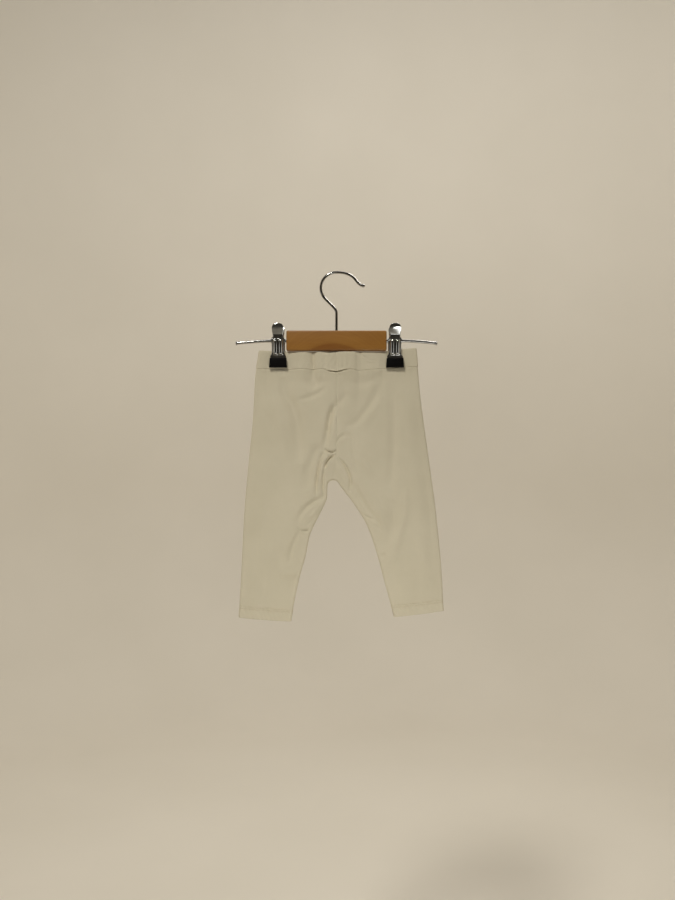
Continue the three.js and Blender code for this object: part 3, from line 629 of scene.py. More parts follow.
# The spring's wire: a spiral along the rod, given its thickness and turned to lie along X
spring_tree, given, result, spring_inputs = geometry_tree("coil_spring", {
    "Coil radius": ("NodeSocketFloat", 0.0033),
    "Coil length": ("NodeSocketFloat", 0.0096),
    "Turns": ("NodeSocketFloat", 7.0),
    "Wire radius": ("NodeSocketFloat", 0.0006),
    "Material": ("NodeSocketMaterial", None),
})
spiral = add_node(
    spring_tree, "GeometryNodeCurveSpiral", Resolution=28, Rotations=given["Turns"],
    Start_Radius=given["Coil radius"], End_Radius=given["Coil radius"], Height=given["Coil length"],
)
section = add_node(
    spring_tree, "GeometryNodeCurvePrimitiveCircle", Resolution=10, Radius=given["Wire radius"]
)
coil = add_node(
    spring_tree, "GeometryNodeCurveToMesh", Curve=spiral.outputs["Curve"],
    Profile_Curve=section.outputs["Curve"], Fill_Caps=True,
)
half_length = calc(spring_tree, "MULTIPLY", given["Coil length"], -0.5)
shift = add_node(spring_tree, "ShaderNodeCombineXYZ", Z=half_length)
centred = add_node(
    spring_tree, "GeometryNodeTransform", Geometry=coil.outputs["Mesh"], Translation=shift.outputs["Vector"]
)
laid = add_node(
    spring_tree, "GeometryNodeTransform", Geometry=centred.outputs["Geometry"], Rotation=(0, math.pi / 2, 0)
)
end_tree(spring_tree, laid.outputs["Geometry"], given["Material"], result)


def made_by_nodes(name, source, tree, identifiers, values):
    modifier = source.modifiers.new(name, "NODES")
    modifier.node_group = tree
    for label, value in values.items():
        modifier[identifiers[label]] = value
    return settled(source)


for clip, middle_x in clip_places.items():
    for side, word in ((-1, "front"), (1, "back")):
        jaw_parts = [clip_jaw(f"{clip}_{word}_plate", middle_x, side)]
        for end in (-1, 1):
            ear_x = middle_x + end * ear_places[word]
            jaw_parts.append(pierced_plate("ear", ear_x, sheet_steel, ear_outline(side), ear_hole))
        if word == "front":
            boss_outline = [(2 * math.pi * k / 32, boss_radius) for k in range(32)]
            for end in (-1, 1):
                boss_x = middle_x + end * boss_place
                jaw_parts.append(pierced_plate("boss", boss_x, boss_thickness, boss_outline, boss_hole))
        jaw = joined(f"{clip}_{word}_steel", *jaw_parts)
        smoothed(jaw, 40)
        jaw.data.materials.append(clip_steel)
        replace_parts(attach(jaw, "root"), f"{clip}_{word}_jaw")
        pad = rubber_pad(f"{clip}_{word}_rubber", middle_x, side)
        pad.data.materials.append(pad_rubber)
        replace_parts(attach(pad, "root"), f"{clip}_{word}_pad")
    spring = mesh_object(f"{clip}_coil", [(0, 0, 0)], [])
    made_by_nodes("coil", spring, spring_tree, spring_inputs, {
        "Coil radius": 0.0033, "Coil length": 0.0088, "Turns": 7.0, "Wire radius": 0.00055,
        "Material": wire_steel,
    })
    spring.data.transform(Matrix.Translation((middle_x * mm, 0, rod_height)))
    spring.data.shade_smooth()
    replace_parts(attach(spring, "root"), f"{clip}_spring")

# The leggings: two panels of thin undyed cotton jersey, each folded round one leg and closed by
# its inseam, then sewn to each other along the centre seam. They hang slack and flat from the
# clips, with creases that run down from between them, and each hem is turned up once inside.
waist_seam_height, crotch_height = -124, -268
side_fold = 2.8
least_half = 0.95
seam_gap = 0.05
hem_depth = 15.6
stitch_rows = (12.3, 15.3)
cloth_half, hem_turn_up = 0.55, 0.55
seam_round = 0.35
seam_clearance = 0.3
thread_lift = 0.1 * mm
# How far in from its edges a leg is full, and how far folds stay small beside them
crown_reach = 24
outer_reach, inner_reach = 10, 5
# How far down from the waist the band still shapes the legs, and its seam their heights
waist_reach, seam_reach = 60, 30
# How far from the band's seam and from the hem the folds stay calm
seam_calm, hem_calm = 8, 22
leg_cuts = {
    "right": {
        "sign": -1, "hem": -452, "rise": 5.2,
        "outer": [
            (-99, -99.6), (-124, -103.6), (-136, -105.2), (-186, -107.8), (-235, -112.6), (-310, -119.2),
            (-385, -123), (-447, -126.6),
        ],
        "inner": [
            (-268, -4.2), (-269, -8), (-271, -10.8), (-275, -12), (-291, -12.8), (-300, -16), (-311, -21.5),
            (-329, -30.5), (-340, -35), (-369, -41), (-392, -47.7), (-427, -55.3), (-452, -59.4),
        ],
    },
    "left": {
        "sign": 1, "hem": -446, "rise": 7.8,
        "outer": [
            (-99, 103.2), (-124, 105.2), (-161, 108.8), (-235, 118.7), (-310, 128.8), (-385, 136),
            (-438, 138.8),
        ],
        "inner": [
            (-268, -3.8), (-268.7, -0.6), (-271, 2.2), (-276, 5.6), (-284, 11.4), (-293, 18.6), (-305, 27),
            (-324, 38.6), (-345, 47), (-370, 54.8), (-396, 61.6), (-419, 68), (-446, 75.2),
        ],
    },
}
centre_seam = smooth_table([(-99, 0), (-200, 0.4), (-235, -0.6), (crotch_height, -4)])
body_half = smooth_table([
    (-124, 3.6), (-170, 5.4), (-230, 5.8), (-268, 5.4), (-320, 6), (-380, 5.8), (-452, 5.4),
])
waist_rows = [
    # across, then how far the front and the back stand from the middle
    (-105, 2.4, 2.4), (-96, 2.4, 2.2), (-89, 1.45, 1.45), (-62, 1.45, 1.45), (-54, 2.8, 2.8), (-42, 4.4, 3.4),
    (-31, 1.9, 4.4), (-21, 5, 3.6), (-8, 6.4, 2.6), (6, 6.2, 4.4), (20, 5.6, 5), (30, 2.8, 3.2), (42, 3, 3.6),
    (54, 2.6, 3), (62, 1.45, 1.45), (89, 1.45, 1.45), (96, 2.4, 2.2), (107, 2.4, 2.4),
]
waist_half = {"front": smooth_table(waist_rows, 1), "back": smooth_table(waist_rows, 2)}
band_rows = {
    # across, then the height of the waistband's top edge and of its seam
    "front": [
        (-105, -99.8, -123.4), (-84, -100.4, -123.8), (-66, -101.2, -124.4), (-58, -102, -124.4),
        (-42, -102.2, -123.6), (-31, -101.8, -125), (-19, -102.4, -123.8), (-9, -103.4, -126.4),
        (0, -102.6, -127.2), (9, -102, -125.2), (17, -101.6, -123.8), (28, -102.2, -126),
        (45, -102.2, -124.6), (60, -101.8, -123.6), (66, -100.6, -123), (84, -98, -122), (105, -96.6, -121),
    ],
    "back": [
        (-105, -99.8, -123.4), (-84, -100.2, -123.6), (-68, -101.1, -124.2), (-58, -101, -124.6),
        (-30, -100.9, -125.4), (0, -100.8, -124.4), (30, -100.9, -125.6), (58, -101, -124),
        (68, -100.8, -123.2), (84, -98.2, -122.2), (105, -96.6, -121),
    ],
}
band_top = {side: smooth_table(rows, 1) for side, rows in band_rows.items()}
band_seam = {side: smooth_table(rows, 2) for side, rows in band_rows.items()}
leg_creases = {
    # the points each runs through, its depth (below zero it stands out) and its width at both ends
    "front": [
        ([(14.3, -153.2), (4.6, -166.8), (-4.5, -175.9), (-9.7, -192.8), (-12, -206)], 1.9, 6, 5),
        ([(-3.5, -172), (-8.7, -188), (-11.5, -206), (-13.6, -216), (-17.2, -230)], 3.6, 4.2, 5.2),
        ([(-15.5, -227.6), (-10.5, -231.2), (-5.5, -232.1), (0.4, -229.6)], 3.6, 1.9, 1.6),
        (
            [(-14.6, -228.1), (-20.4, -240.8), (-24.2, -258.1), (-26.6, -276.9), (-26.3, -289.6)],
            3.6, 3.2, 2.4,
        ),
        ([(-0.9, -235.1), (-8.7, -239.8), (-13.4, -246.5), (-15.2, -252.9)], 4.4, 2.2, 2.6),
        ([(-14.3, -248.1), (-17.5, -267.6), (-17.5, -293.6)], 1.9, 1.8, 2.2),
        ([(-9.7, -236.4), (-18.8, -248.1), (-21.4, -264.3), (-22.1, -283.8)], -0.9, 1.8, 1.8),
        ([(-24, -222), (-31, -240), (-36, -258), (-37, -282)], 3.2, 7, 9),
        ([(3.2, -170.7), (-2.6, -186.3), (-5.8, -202.6), (-7.5, -223.7)], -0.6, 3, 5),
        ([(1.6, -238.9), (9.8, -247.4), (15.3, -257.8), (18.2, -270.8), (16.9, -283.8)], 4, 2, 2.4),
        ([(-1.9, -246.8), (6.5, -261.1), (12, -275.4)], -0.8, 3.5, 3.5),
        ([(-0.6, -220.1), (4.6, -212.9), (12, -209.4), (20.2, -211)], 2, 1.3, 1.4),
        ([(19.5, -211), (20.8, -225.3), (23.4, -241.6), (27.3, -259.4)], 0.9, 2.4, 2.8),
        ([(5.9, -217.8), (14.3, -215.2)], -0.7, 2.2, 2.2),
        ([(27.3, -238.3), (41.3, -254.6), (46.8, -265.9)], -1, 3, 5),
        ([(19.5, -268.2), (33.2, -293.6), (46.2, -313.1), (59.8, -330.6)], 1.7, 3.6, 4.4),
        ([(42.2, -281.2), (55.9, -309.8), (63.1, -330.9)], -0.9, 4, 4),
        ([(32.5, -311.8), (39.7, -316.3), (48.8, -318.9)], 1.8, 1.5, 2),
        ([(49.4, -325.4), (59.8, -333.5)], 0.7, 2, 2.2),
        (
            [(8.5, -200.3), (23.4, -194.4), (34.8, -182.4), (44.5, -168.4), (52.7, -153.8), (59.2, -131.7)],
            2, 4.2, 8,
        ),
        ([(29.9, -201.9), (46.2, -181.4), (59.2, -159.7)], -0.8, 7, 5),
        ([(-52, -164.8), (-38.3, -161.6), (-25.3, -156.4), (-11.7, -146.7)], 1.9, 3, 4.4),
        (
            [
                (-68.9, -134.3), (-66.9, -153.8), (-57.8, -171.7), (-50.7, -196.1), (-49.1, -222.3),
                (-50.2, -246.8),
            ],
            4.6, 7.5, 10,
        ),
        ([(-84.5, -160.3), (-74.1, -186.3), (-69.2, -212.3), (-65.6, -241.6)], -1.3, 7, 6),
        ([(-87.8, -183.1), (-85.1, -199.3), (-84.5, -212.3)], 0.9, 6, 5),
        ([(-60.4, -136.9), (-28.6, -142.8), (-4.2, -139.5)], 1.5, 9, 6),
        ([(5.9, -139.5), (33.2, -141.4), (61.1, -131.1)], 1.4, 9, 6),
        (
            [
                (-12.2, -287.6), (-20, -291), (-31.8, -297.8), (-43.2, -308.2), (-49.4, -321.2),
                (-48.7, -330.6),
            ],
            2.6, 2.8, 5.5,
        ),
        ([(-51, -328.9), (-43.2, -333.9), (-33.4, -332.6)], 2.6, 1.4, 1.6),
        ([(-36.4, -318.9), (-28.6, -309.8), (-21.4, -299.4)], -1.1, 3, 3),
        ([(-39.6, -326.7), (-29.2, -318.9)], 0.6, 1.6, 1.6),
        ([(-48.7, -335.8), (-55.9, -350.4), (-59.8, -365.1), (-61.7, -378.1)], 2.1, 3.2, 5),
        ([(-76.7, -358.6), (-69.2, -380.7)], 0.9, 7, 7),
        ([(-74.1, -389.8), (-57.8, -389.4), (-47.4, -383.9)], -1.4, 4, 4),
        ([(-53.9, -393), (-56.5, -415.4)], 0.8, 5, 5),
        ([(72.2, -150), (73.8, -209.1), (72.2, -248.1), (67.6, -281.2)], 2.2, 7, 7),
        ([(89.1, -278.9), (87.8, -309.8), (81.9, -335.8), (72.2, -365.1), (62.4, -394.3)], -1.9, 5, 8),
        ([(72.8, -293.6), (72.2, -326.1), (65, -353.7)], 1.8, 8, 6),
        ([(50.7, -364.1), (56.6, -366.4), (64.4, -365.7)], 1.6, 1.7, 2.4),
        ([(58.5, -393.7), (65.7, -398.2)], 1.4, 1.6, 2),
        ([(-30, -119.7), (-30.5, -129.4), (-28.2, -137.9)], 2.8, 2.2, 2.6),
        ([(-23.4, -123.2), (-21.4, -138.8)], -0.8, 3, 3),
        ([(-19, -122.6), (-7.5, -124.2), (7.2, -124.2), (19, -122.6)], 3.4, 1.5, 1.5),
        ([(-91, -433.3), (-89, -445)], 0.8, 2.6, 2.6),
        ([(87.8, -429.4), (92.3, -439.8)], 0.8, 2.4, 2.4),
        ([(102.7, -428.8), (106.6, -439.8)], 0.8, 2.4, 2.4),
        ([(114.4, -426.8), (116.4, -436.6)], 0.7, 2.2, 2.2),
        ([(-100, -300), (-104, -350), (-103, -400)], 0.7, 7, 7),
        ([(112, -250), (120, -310), (122, -380)], 0.8, 7, 7),
        ([(-78, -330), (-86, -380), (-88, -430)], -0.6, 7, 7),
        ([(100, -340), (106, -390), (108, -436)], 0.6, 6, 6),
    ],
    "back": [
        ([(18, -136), (13, -160), (10, -190), (14, -262)], 2.4, 5, 5),
        ([(-10, -196), (-15, -226), (-16, -272)], 2, 4.6, 4.6),
        ([(66, -130), (60, -160), (58, -196), (60, -236)], 2, 6.5, 6.5),
        ([(-68, -130), (-64, -160), (-58, -200), (-50, -232)], 2, 6.5, 6.5),
        ([(-40, -150), (-22, -162), (0, -160)], 1.7, 5.4, 5.4),
        ([(30, -150), (44, -172), (48, -200)], -0.9, 6, 6),
        ([(-34, -176), (-40, -206), (-36, -240)], -0.9, 6, 6),
        ([(20, -290), (38, -302), (56, -328)], 2, 5, 5),
        ([(-22, -298), (-42, -310), (-57, -342)], 2, 5, 5),
        ([(60, -350), (68, -372), (72, -404)], 1.1, 5, 5),
        ([(-62, -356), (-68, -384), (-72, -412)], 1.1, 5, 5),
        ([(92, -246), (96.5, -320), (94, -396)], 1.6, 6.5, 6.5),
        ([(-92, -256), (-95, -330), (-92, -400)], 1.4, 6.5, 6.5),
        ([(-12, -238), (-2, -236), (8, -240)], 0.9, 2, 2),
        ([(-14, -252), (-4, -248), (6, -252)], 0.7, 1.8, 1.8),
        ([(100, -430), (101, -446)], 0.7, 2.8, 2.8),
        ([(-84, -434), (-83, -452)], 0.7, 2.8, 2.8),
    ],
}


def ease(t):
    t = np.clip(t, 0, 1)
    return t * t * (3 - 2 * t)


def mixed(a, b, t):
    return a + (b - a) * t


def crease_line(points, count=26):
    points = np.array(points, float)
    along = np.concatenate([[0], np.cumsum(np.linalg.norm(np.diff(points, axis=0), axis=1))])
    steps = np.linspace(0, along[-1], count)
    return np.stack([smooth_table(list(zip(along, points[:, axis])))(steps) for axis in (0, 1)], axis=1)


def crease_depth(creases, x, z):
    depth_here = np.zeros(x.shape)
    for points, depth, first_width, last_width in creases:
        line = crease_line(points)
        widest = max(first_width, last_width)
        low, high = line.min(0) - 3.2 * widest, line.max(0) + 3.2 * widest
        near = (x > low[0]) & (x < high[0]) & (z > low[1]) & (z < high[1])
        px, pz = x[near], z[near]
        closest = np.full(px.shape, 1e9)
        along = np.zeros(px.shape)
        for k in range(len(line) - 1):
            (ax, az), (bx, bz) = line[k], line[k + 1]
            span = (bx - ax) ** 2 + (bz - az) ** 2
            t = np.clip(((px - ax) * (bx - ax) + (pz - az) * (bz - az)) / span, 0, 1)
            apart = (px - ax - t * (bx - ax)) ** 2 + (pz - az - t * (bz - az)) ** 2
            along = np.where(apart < closest, (k + t) / (len(line) - 1), along)
            closest = np.minimum(closest, apart)
        share = closest / mixed(first_width, last_width, along) ** 2
        depth_here[near] += depth * np.sin(math.pi * along) ** 0.6 * (1 - 0.4 * share) * np.exp(-share)
    return depth_here


def distance_to_line(line, x, z):
    apart = np.full(x.shape, 1e9)
    for (ax, az), (bx, bz) in zip(line[:-1], line[1:]):
        span = (bx - ax) ** 2 + (bz - az) ** 2
        t = np.clip(((x - ax) * (bx - ax) + (z - az) * (bz - az)) / span, 0, 1)
        apart = np.minimum(apart, np.hypot(x - ax - t * (bx - ax), z - az - t * (bz - az)))
    return apart


def slow_waves(x, z, seed, across, down):
    values = [noise.noise(Vector((a * across, b * down, seed))) for a, b in zip(x.ravel(), z.ravel())]
    return np.array(values).reshape(x.shape)


def leg_surface(cut, levels, height_at, creases, panel=80, turned=7):
    sign, hem = cut["sign"], cut["hem"]
    levels = np.asarray(levels, float)[:, None]
    above = levels > crotch_height
    seam_edge = centre_seam(levels) + sign * seam_gap / 2
    inner_edge = np.where(above, seam_edge, smooth_table(cut["inner"])(levels))
    slant = cut["rise"] * np.clip((crotch_height - levels) / (crotch_height - hem), 0, 1)
    outer_edge = smooth_table(cut["outer"])(levels + slant)
    width = np.abs(outer_edge - inner_edge)
    below_seam = ease((waist_seam_height + seam_calm - levels) / (2 * seam_calm))
    above_hem = mixed(0.35, 1, ease((levels - hem) / hem_calm))
    # Places across a leg run from its inner edge at 0 to its outer edge at 1, close together at both
    fold = side_fold / width
    turning = 1 - np.cos(math.pi / 2 * np.arange(turned) / turned)
    flat = fold + (1 - 2 * fold) * np.linspace(0, 1, panel) ** 1.3
    places = np.concatenate([fold * turning, flat, 1 - (fold * turning)[:, ::-1]], axis=1)
    x = inner_edge + (outer_edge - inner_edge) * places
    z = levels + slant * places
    edge_heights = np.concatenate([np.linspace(crotch_height, -276, 40), np.linspace(-277, hem, 90)])
    inner_line = np.stack([smooth_table(cut["inner"])(edge_heights), edge_heights], axis=1)
    to_outer, to_seam = (1 - places) * width, places * width
    to_inner = distance_to_line(inner_line, x, levels)
    to_inner[:, 0] *= above[:, 0]
    # Front and back close on each other in a round fold at both edges, but not along the centre seam
    outer_bend = np.clip(1 - to_outer / side_fold, 0, 1) ** 2
    inner_bend = np.clip(1 - to_inner / side_fold, 0, 1) ** 2
    closing = np.sqrt(np.clip((1 - outer_bend) * (1 - inner_bend), 0, 1))
    crown = ease(to_outer / crown_reach) * ease(to_inner / crown_reach)
    from_edge = ease(to_outer / outer_reach) * ease(to_inner / inner_reach)
    faces = {}
    for side, seed in (("front", 4.3), ("back", 9.1)):
        leg_half = mixed(side_fold, body_half(levels), crown)
        half = mixed(waist_half[side](x), leg_half, ease((waist_seam_height - levels) / waist_reach))
        swell = 0.9 * slow_waves(x, z, seed, 0.021, 0.013) + 0.3 * slow_waves(x, z, seed + 5, 0.07, 0.04)
        half = half + (swell - crease_depth(creases[side], x, z) * above_hem) * below_seam * from_edge
        # The thread of the centre seam and of the inseam draws the cloth in and puckers it
        drawn_in = 0.4 * np.exp(-((to_seam / 1.1) ** 2))
        drawn_in = drawn_in + 0.1 * np.sin(z * 0.9) * np.exp(-((to_seam / 4) ** 2))
        inseam = 0.12 * np.cos(z * 0.78 + x * 0.1) * np.exp(-((to_inner / 3.4) ** 2))
        below_band = waist_seam_height - levels
        gathers = 0.2 * np.sin(x * 0.83 + 1.1 * np.sin(x * 0.17)) * np.exp(-below_band / 9)
        gathers = gathers + 0.5 * np.exp(-(((below_band - 1.8) / 2.8) ** 2))
        half = half - drawn_in * above * ease(to_inner / 8) - inseam * ~above
        half = half + gathers * (levels < waist_seam_height) * from_edge
        # A soft least depth keeps the two layers apart under the deepest creases
        half = least_half + np.log1p(np.exp((half - least_half) * 3)) / 3
        y = half * closing * (1 if side == "back" else -1)
        faces[side] = np.stack([x, y, height_at(x, side, z)], axis=2)
    around = np.concatenate([faces["front"], faces["back"][:, -2::-1]], axis=1)
    unrolled = np.concatenate([x, 2 * outer_edge - x[:, -2::-1]], axis=1)
    if sign < 0:
        around, unrolled = around[:, ::-1], unrolled[:, ::-1]
    return around, np.stack([unrolled, around[:, :, 2]], axis=2)


def tube_normals(middle, closed):
    # Closed rows meet themselves all round. Above them a leg is open towards the other leg
    across = np.gradient(middle, axis=1)
    across[closed, 0] = across[closed, -1] = middle[closed, 1] - middle[closed, -2]
    normals = np.cross(np.gradient(middle, axis=0), across)
    first = int(np.argmax(closed))
    if first > 0:
        ends = (middle[first - 1, 0] + middle[first - 1, -1]) / 2
        normals[first, 0] = normals[first, -1] = np.cross(middle[first + 1, 0] - ends, across[first, 0])
        normals[: first + 1, (0, -1), 0] = 0
    return normals / np.maximum(np.linalg.norm(normals, axis=2, keepdims=True), 1e-12)


def edge_rings(middle, normals, row, neighbour, outer, inner, turns, roundness):
    reach = middle[row] - middle[neighbour]
    reach = reach / np.linalg.norm(reach, axis=1, keepdims=True)
    half = (outer[row] + inner[row]) / 2
    centre = middle[row] + normals[row] * (outer[row] - inner[row]) / 2
    return np.stack([
        centre + normals[row] * half * math.cos(turn) + reach * half * math.sin(turn) * roundness
        for turn in turns
    ])


def thick_cloth(name, middle, unrolled, closed, outer, inner, top_round=0.8, low_round=0.8, edge_steps=5):
    # The mesh runs down the outside, round the low edge, up the inside and round the top edge
    normals = tube_normals(middle, closed)
    rows, columns = middle.shape[:2]
    outer, inner = outer[:, :, None], inner[:, :, None]
    turns = [math.pi * step / (edge_steps + 1) for step in range(1, edge_steps + 1)]
    points = np.concatenate([
        middle + normals * outer,
        edge_rings(middle, normals, rows - 1, rows - 2, outer, inner, turns, low_round),
        (middle - normals * inner)[::-1],
        edge_rings(middle, normals, 0, 1, outer, inner, turns[::-1], top_round),
    ])
    count = len(points)
    places = np.concatenate([
        unrolled, np.repeat(unrolled[-1:], edge_steps, axis=0),
        unrolled[::-1], np.repeat(unrolled[:1], edge_steps, axis=0),
    ])
    at = np.arange(count * columns).reshape(count, columns)
    below = np.roll(at, -1, axis=0)
    quads = np.stack([at[:, :-1], below[:, :-1], below[:, 1:], at[:, 1:]], axis=2).reshape(-1, 4)
    faces = [tuple(quad) for quad in quads.tolist()]
    inside = [rows + edge_steps + rows - 1 - row for row in range(rows)]
    open_rows = int(np.argmax(closed))
    for column, order in ((0, 1), (columns - 1, -1)):
        walls = [
            [at[row, column], at[inside[row], column], at[inside[row + 1], column], at[row + 1, column]]
            for row in range(open_rows)
        ]
        if open_rows:
            top_edge = [at[k, column] for k in range(count - 1, count - edge_steps - 1, -1)]
            walls.append([at[0, column], *top_edge, at[inside[0], column]])
        faces += [tuple(int(k) for k in wall[::order]) for wall in walls]
    made = mesh_object(name, points.reshape(-1, 3) * mm, faces)
    corners = np.empty(len(made.data.loops), np.int32)
    made.data.loops.foreach_get("vertex_index", corners)
    layer = made.data.uv_layers.new(name="unrolled")
    layer.data.foreach_set("uv", (places.reshape(-1, 2) * mm)[corners].astype(np.float32).ravel())
    whole = bmesh.new()
    whole.from_mesh(made.data)
    bmesh.ops.remove_doubles(whole, verts=whole.verts, dist=2e-6)
    whole.to_mesh(made.data)
    whole.free()
    return made, normals


undyed_jersey, tree, shader, place = new_material("undyed_jersey")
unrolled_place = add_node(tree, "ShaderNodeUVMap", {"uv_map": "unrolled"}).outputs["UV"]
# The knit: columns of V-shaped loops, each about 1.05 mm wide and 0.8 mm high
loop_width, loop_height = 1.05 * mm, 0.8 * mm
knit = stretched(tree, unrolled_place, (1 / loop_width, 1 / loop_height, 1))
split = add_node(tree, "ShaderNodeSeparateXYZ", Vector=knit).outputs
slope = calc(tree, "PINGPONG", split["X"], 0.5)
lifted = calc(tree, "ADD", split["Y"], slope)
loop_wave = calc(tree, "SINE", calc(tree, "MULTIPLY", lifted, 2 * math.pi))
column_wave = calc(tree, "COSINE", calc(tree, "MULTIPLY", slope, 4 * math.pi))
loops = calc(tree, "MULTIPLY_ADD", loop_wave, 0.4, column_wave)
fuzzy_loops = calc(tree, "MULTIPLY_ADD", clouds(tree, place, 1400.0, 3.0), 1.6, loops)
crinkle = bumped(tree, clouds(tree, place, 75.0, 4.0, 0.55), 0.35, 0.0012)
knitted = bumped(tree, fuzzy_loops, 0.35, 0.00012, Normal=crinkle)
mottle = clouds(tree, place, 22.0, 5.0, 0.6)
shade = calc(tree, "MULTIPLY_ADD", clouds(tree, place, 900.0, 2.0), 0.25, mottle)
tones = toned(tree, shade, linear(220, 210, 184), linear(226, 216, 191), 0.35, 0.85)
give(
    tree, shader, Base_Color=tones, Roughness=0.92, Sheen_Weight=0.15, Sheen_Roughness=0.6,
    Specular_IOR_Level=0.2, Normal=knitted,
)

cream_thread, tree, shader, place = new_material("cream_thread")
twist = add_node(tree, "ShaderNodeTexWave", Vector=place, Scale=900.0, Distortion=2.0).outputs["Fac"]
tones = toned(tree, twist, linear(205, 190, 158), linear(228, 216, 188))
give(tree, shader, Base_Color=tones, Roughness=0.75, Normal=bumped(tree, twist, 0.4, 0.0001))

# A row of stitches: short lengths of thread laid end to end along a sewn line, each facing out
stitch_tree, given, result, stitch_inputs = geometry_tree("row_of_stitches", {
    "Stitch length": ("NodeSocketFloat", 0.0023),
    "Stitch spacing": ("NodeSocketFloat", 0.003),
    "Thread thickness": ("NodeSocketFloat", 0.0004),
    "Unevenness": ("NodeSocketFloat", 0.06),
    "Material": ("NodeSocketMaterial", None),
})
path = add_node(stitch_tree, "GeometryNodeMeshToCurve", Mesh=given["Geometry"])
stepped = add_node(
    stitch_tree, "GeometryNodeResampleCurve", {"mode": "LENGTH"}, Curve=path.outputs["Curve"],
    Length=given["Stitch spacing"],
)
outwards = add_node(
    stitch_tree, "GeometryNodeInputNamedAttribute", {"data_type": "FLOAT_VECTOR"}, Name="outwards"
)
tangent = add_node(stitch_tree, "GeometryNodeInputTangent")
lying = add_node(
    stitch_tree, "FunctionNodeAlignRotationToVector", {"axis": "X"}, Vector=tangent.outputs["Tangent"]
)
facing = add_node(
    stitch_tree, "FunctionNodeAlignRotationToVector", {"axis": "Z", "pivot_axis": "X"},
    Rotation=lying.outputs["Rotation"], Vector=outwards.outputs["Attribute"],
)
thread = add_node(stitch_tree, "GeometryNodeMeshUVSphere", Segments=8, Rings=6, Radius=0.5)
thickness = given["Thread thickness"]
thread_size = add_node(
    stitch_tree, "ShaderNodeCombineXYZ", X=given["Stitch length"], Y=thickness, Z=thickness
)
one_stitch = add_node(
    stitch_tree, "GeometryNodeTransform", Geometry=thread.outputs["Mesh"], Scale=thread_size.outputs["Vector"]
)
smallest = calc(stitch_tree, "SUBTRACT", 1.0, given["Unevenness"])
largest = calc(stitch_tree, "ADD", 1.0, given["Unevenness"])
uneven = add_node(
    stitch_tree, "FunctionNodeRandomValue", {"data_type": "FLOAT"}, at2=smallest, at3=largest, Seed=7
)
sewn = add_node(
    stitch_tree, "GeometryNodeInstanceOnPoints", Points=stepped.outputs["Curve"],
    Instance=one_stitch.outputs["Geometry"], Rotation=facing.outputs["Rotation"], Scale=uneven.outputs[1],
)
end_tree(stitch_tree, sewn.outputs["Instances"], given["Material"], result)


def sewn_line(name, points, outwards):
    data = bpy.data.meshes.new(name)
    data.from_pydata([tuple(p) for p in points], [(k, k + 1) for k in range(len(points) - 1)], [])
    attribute = data.attributes.new("outwards", "FLOAT_VECTOR", "POINT")
    attribute.data.foreach_set("vector", np.asarray(outwards, np.float32).ravel())
    return placed(name, data)


for word, cut in leg_cuts.items():
    hem = cut["hem"]
    into_crotch = np.linspace(0, math.pi / 2, 9)[1:]
    levels = np.concatenate([
        np.linspace(waist_seam_height - seam_clearance, -150, 22),
        np.linspace(-152, -224, 33), np.linspace(-225.2, -256, 26),
        [-258, -260, -261.5, -263, -264.2],
        crotch_height + side_fold * (1 - np.sin(into_crotch)),
        np.linspace(-268.3, -271, 8), np.linspace(-272.2, -284, 9), np.linspace(-285.6, -310, 15),
        np.linspace(-311.5, -341, 21), np.linspace(-343.5, hem + 18, 36),
        hem + np.linspace(16.8, 10.8, 16), hem + np.linspace(9.6, 0.8, 8),
    ])
    closed = levels <= crotch_height

    def settled_height(x, side, z, levels=levels[:, None]):
        share = 1 - ease((waist_seam_height - levels) / seam_reach)
        return z + (band_seam[side](x) - waist_seam_height) * share

    middle, unrolled = leg_surface(cut, levels, settled_height, leg_creases)
    above_edge = (levels - hem)[:, None]
    doubled = (above_edge < hem_depth) * 1.0
    roping = 0.14 * np.sin(unrolled[:, :, 0] * 1.05 + above_edge * 0.35)
    roping = roping * doubled * ease(above_edge / 4 + 0.4)
    bite = sum(np.exp(-(((above_edge - height) / 0.7) ** 2)) for height in stitch_rows)
    outer = cloth_half + 0.18 * doubled - 0.3 * bite + roping
    inner = cloth_half + hem_turn_up * doubled
    leg, normals = thick_cloth(f"{word}_leg_cloth", middle, unrolled, closed, outer, inner, seam_round)
    leg.data.materials.append(undyed_jersey)
    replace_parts(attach(leg, "root"), f"{word}_leg")
    outside = middle + normals * outer[:, :, None]
    threads = []
    for height in stitch_rows:
        row = int(np.argmin(np.abs(levels - hem - height)))
        lifted_row = outside[row] * mm + normals[row] * thread_lift
        line = sewn_line(f"{word}_hem_row", lifted_row, normals[row])
        threads.append(made_by_nodes("stitches", line, stitch_tree, stitch_inputs, {
            "Stitch length": 0.0023, "Stitch spacing": 0.003, "Thread thickness": 0.00042,
            "Unevenness": 0.06, "Material": cream_thread,
        }))
    stitches = joined(f"{word}_hem_stitches", *threads)
    stitches.data.shade_smooth()
    stitches.data.materials.append(cream_thread)
    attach(stitches, "root")
    height = float(levels[0] - levels[-1]) * mm

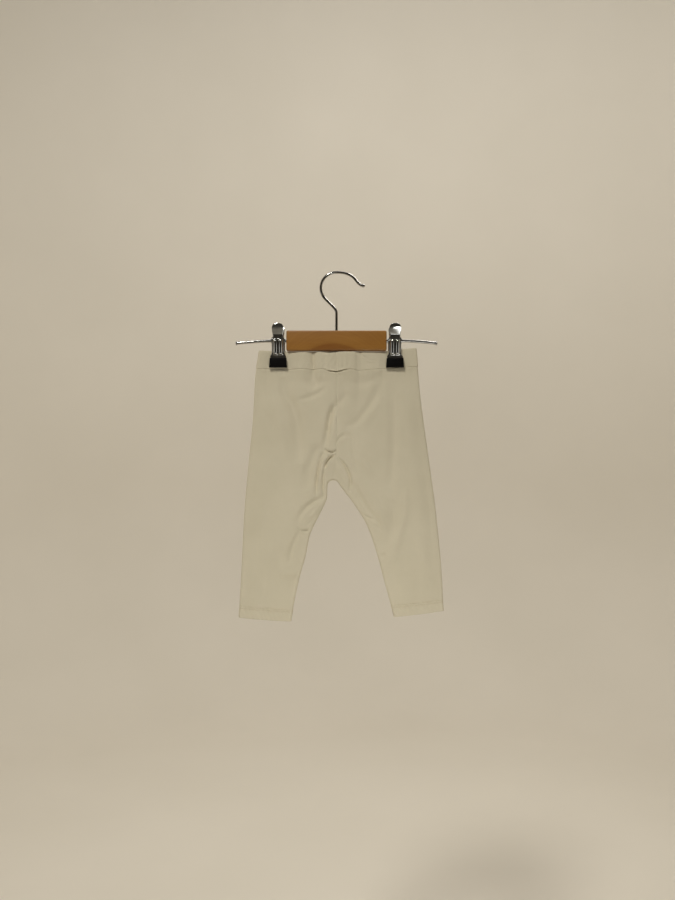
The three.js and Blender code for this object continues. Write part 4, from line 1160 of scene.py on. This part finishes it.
# The waistband: a doubled strip of the same jersey round a soft elastic, overlocked to the legs.
# Both clips grip it, and the slack between them bulges and dents.
band_half = 1.05
band_edge, band_low_edge = 0.8 * band_half, seam_round * band_half
grip_half = 14
band_creases = {
    "front": [
        ([(-30, -98), (-30.6, -112), (-29, -128)], 2.2, 3, 2.6),
        ([(29.6, -101), (34.1, -107.3), (42.5, -111.8)], 1, 1.8, 1.8),
        ([(34, -112.2), (43, -113), (53, -112.4)], 0.6, 1, 1),
        ([(36, -116.2), (44, -117), (53, -116.6)], 0.6, 1, 1),
        ([(-20, -104), (-15, -112), (-16, -122)], 0.5, 2.6, 2.6),
        ([(3, -104), (1, -112), (3, -124)], 0.45, 2.4, 2.4),
        ([(14, -106), (17, -113), (16, -122)], 0.5, 2.6, 2.6),
        ([(-52, -104), (-47, -112), (-49, -122)], 0.4, 3, 3),
        ([(-98, -104), (-96, -112), (-97, -120)], 0.3, 2.4, 2.4),
        ([(97, -101), (96, -109), (97, -118)], 0.3, 2.4, 2.4),
    ],
    "back": [
        ([(-24, -104), (-22, -112), (-24, -122)], 0.6, 3, 3),
        ([(8, -104), (10, -112), (8, -122)], 0.6, 3, 3),
        ([(38, -105), (40, -112), (38, -122)], 0.5, 3, 3),
        ([(-46, -105), (-44, -112), (-46, -122)], 0.5, 3, 3),
    ],
}
# The rows of the band, as shares of the way down from its top edge
band_down = np.concatenate([[0, 0.02, 0.05], np.linspace(0.09, 0.91, 20), [0.95, 0.98, 1]])
band_levels = mixed(-101, waist_seam_height, band_down)


def band_height(x, side, z):
    return mixed(band_top[side](x) - band_edge, band_seam[side](x) + band_low_edge, band_down[:, None])


no_creases = {"front": [], "back": []}
left_half, _ = leg_surface(leg_cuts["left"], band_levels, band_height, no_creases)
right_half, _ = leg_surface(leg_cuts["right"], band_levels, band_height, no_creases)
front_middle = (left_half[:, :1] + right_half[:, -1:]) / 2
back_middle = (left_half[:, -1:] + right_half[:, :1]) / 2
ring = np.concatenate(
    [front_middle, left_half[:, 1:-1], back_middle, right_half[:, 1:-1], front_middle], axis=1
)
all_round = np.ones(len(ring), bool)
steps = np.linalg.norm(np.diff(ring[:, :, :2], axis=1), axis=2)
around = np.concatenate([np.zeros((len(ring), 1)), np.cumsum(steps, axis=1)], axis=1)
x, z = ring[:, :, 0], ring[:, :, 2]
dents = np.where(
    ring[:, :, 1] < 0, crease_depth(band_creases["front"], x, z), crease_depth(band_creases["back"], x, z)
)
# The pads hold the band flat. Elsewhere its elastic gathers it, its top edge rolls in, and the
# slack in the middle of the front lifts its low edge off the legs
free = 1 - np.clip(1 - (np.abs(np.abs(x) - clip_places["left_clip"]) / grip_half) ** 4, 0, 1)
gathers = 0.13 * np.sin(around * 1.15 + 0.8 * np.sin(around * 0.13)) + 0.1 * np.sin(around * 0.47 + z * 0.2)
slack_middle = 0.06 - 0.9 * np.exp(-(((x - 1) / 14) ** 4)) * (ring[:, :, 1] < 0)
edge_roll = 0.4 * np.exp(-((band_down[:, None] / 0.05) ** 2))
edge_roll = edge_roll + slack_middle * np.exp(-(((1 - band_down[:, None]) / 0.07) ** 2))
ring = ring + tube_normals(ring, all_round) * ((gathers - dents - edge_roll) * free)[:, :, None]
half_thickness = np.full(ring.shape[:2], band_half)
band_unrolled = np.stack([around, z], axis=2)
band, _ = thick_cloth(
    "waistband_cloth", ring, band_unrolled, all_round, half_thickness, half_thickness, low_round=seam_round
)
band.data.materials.append(undyed_jersey)
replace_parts(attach(band, "root"), "waistband")
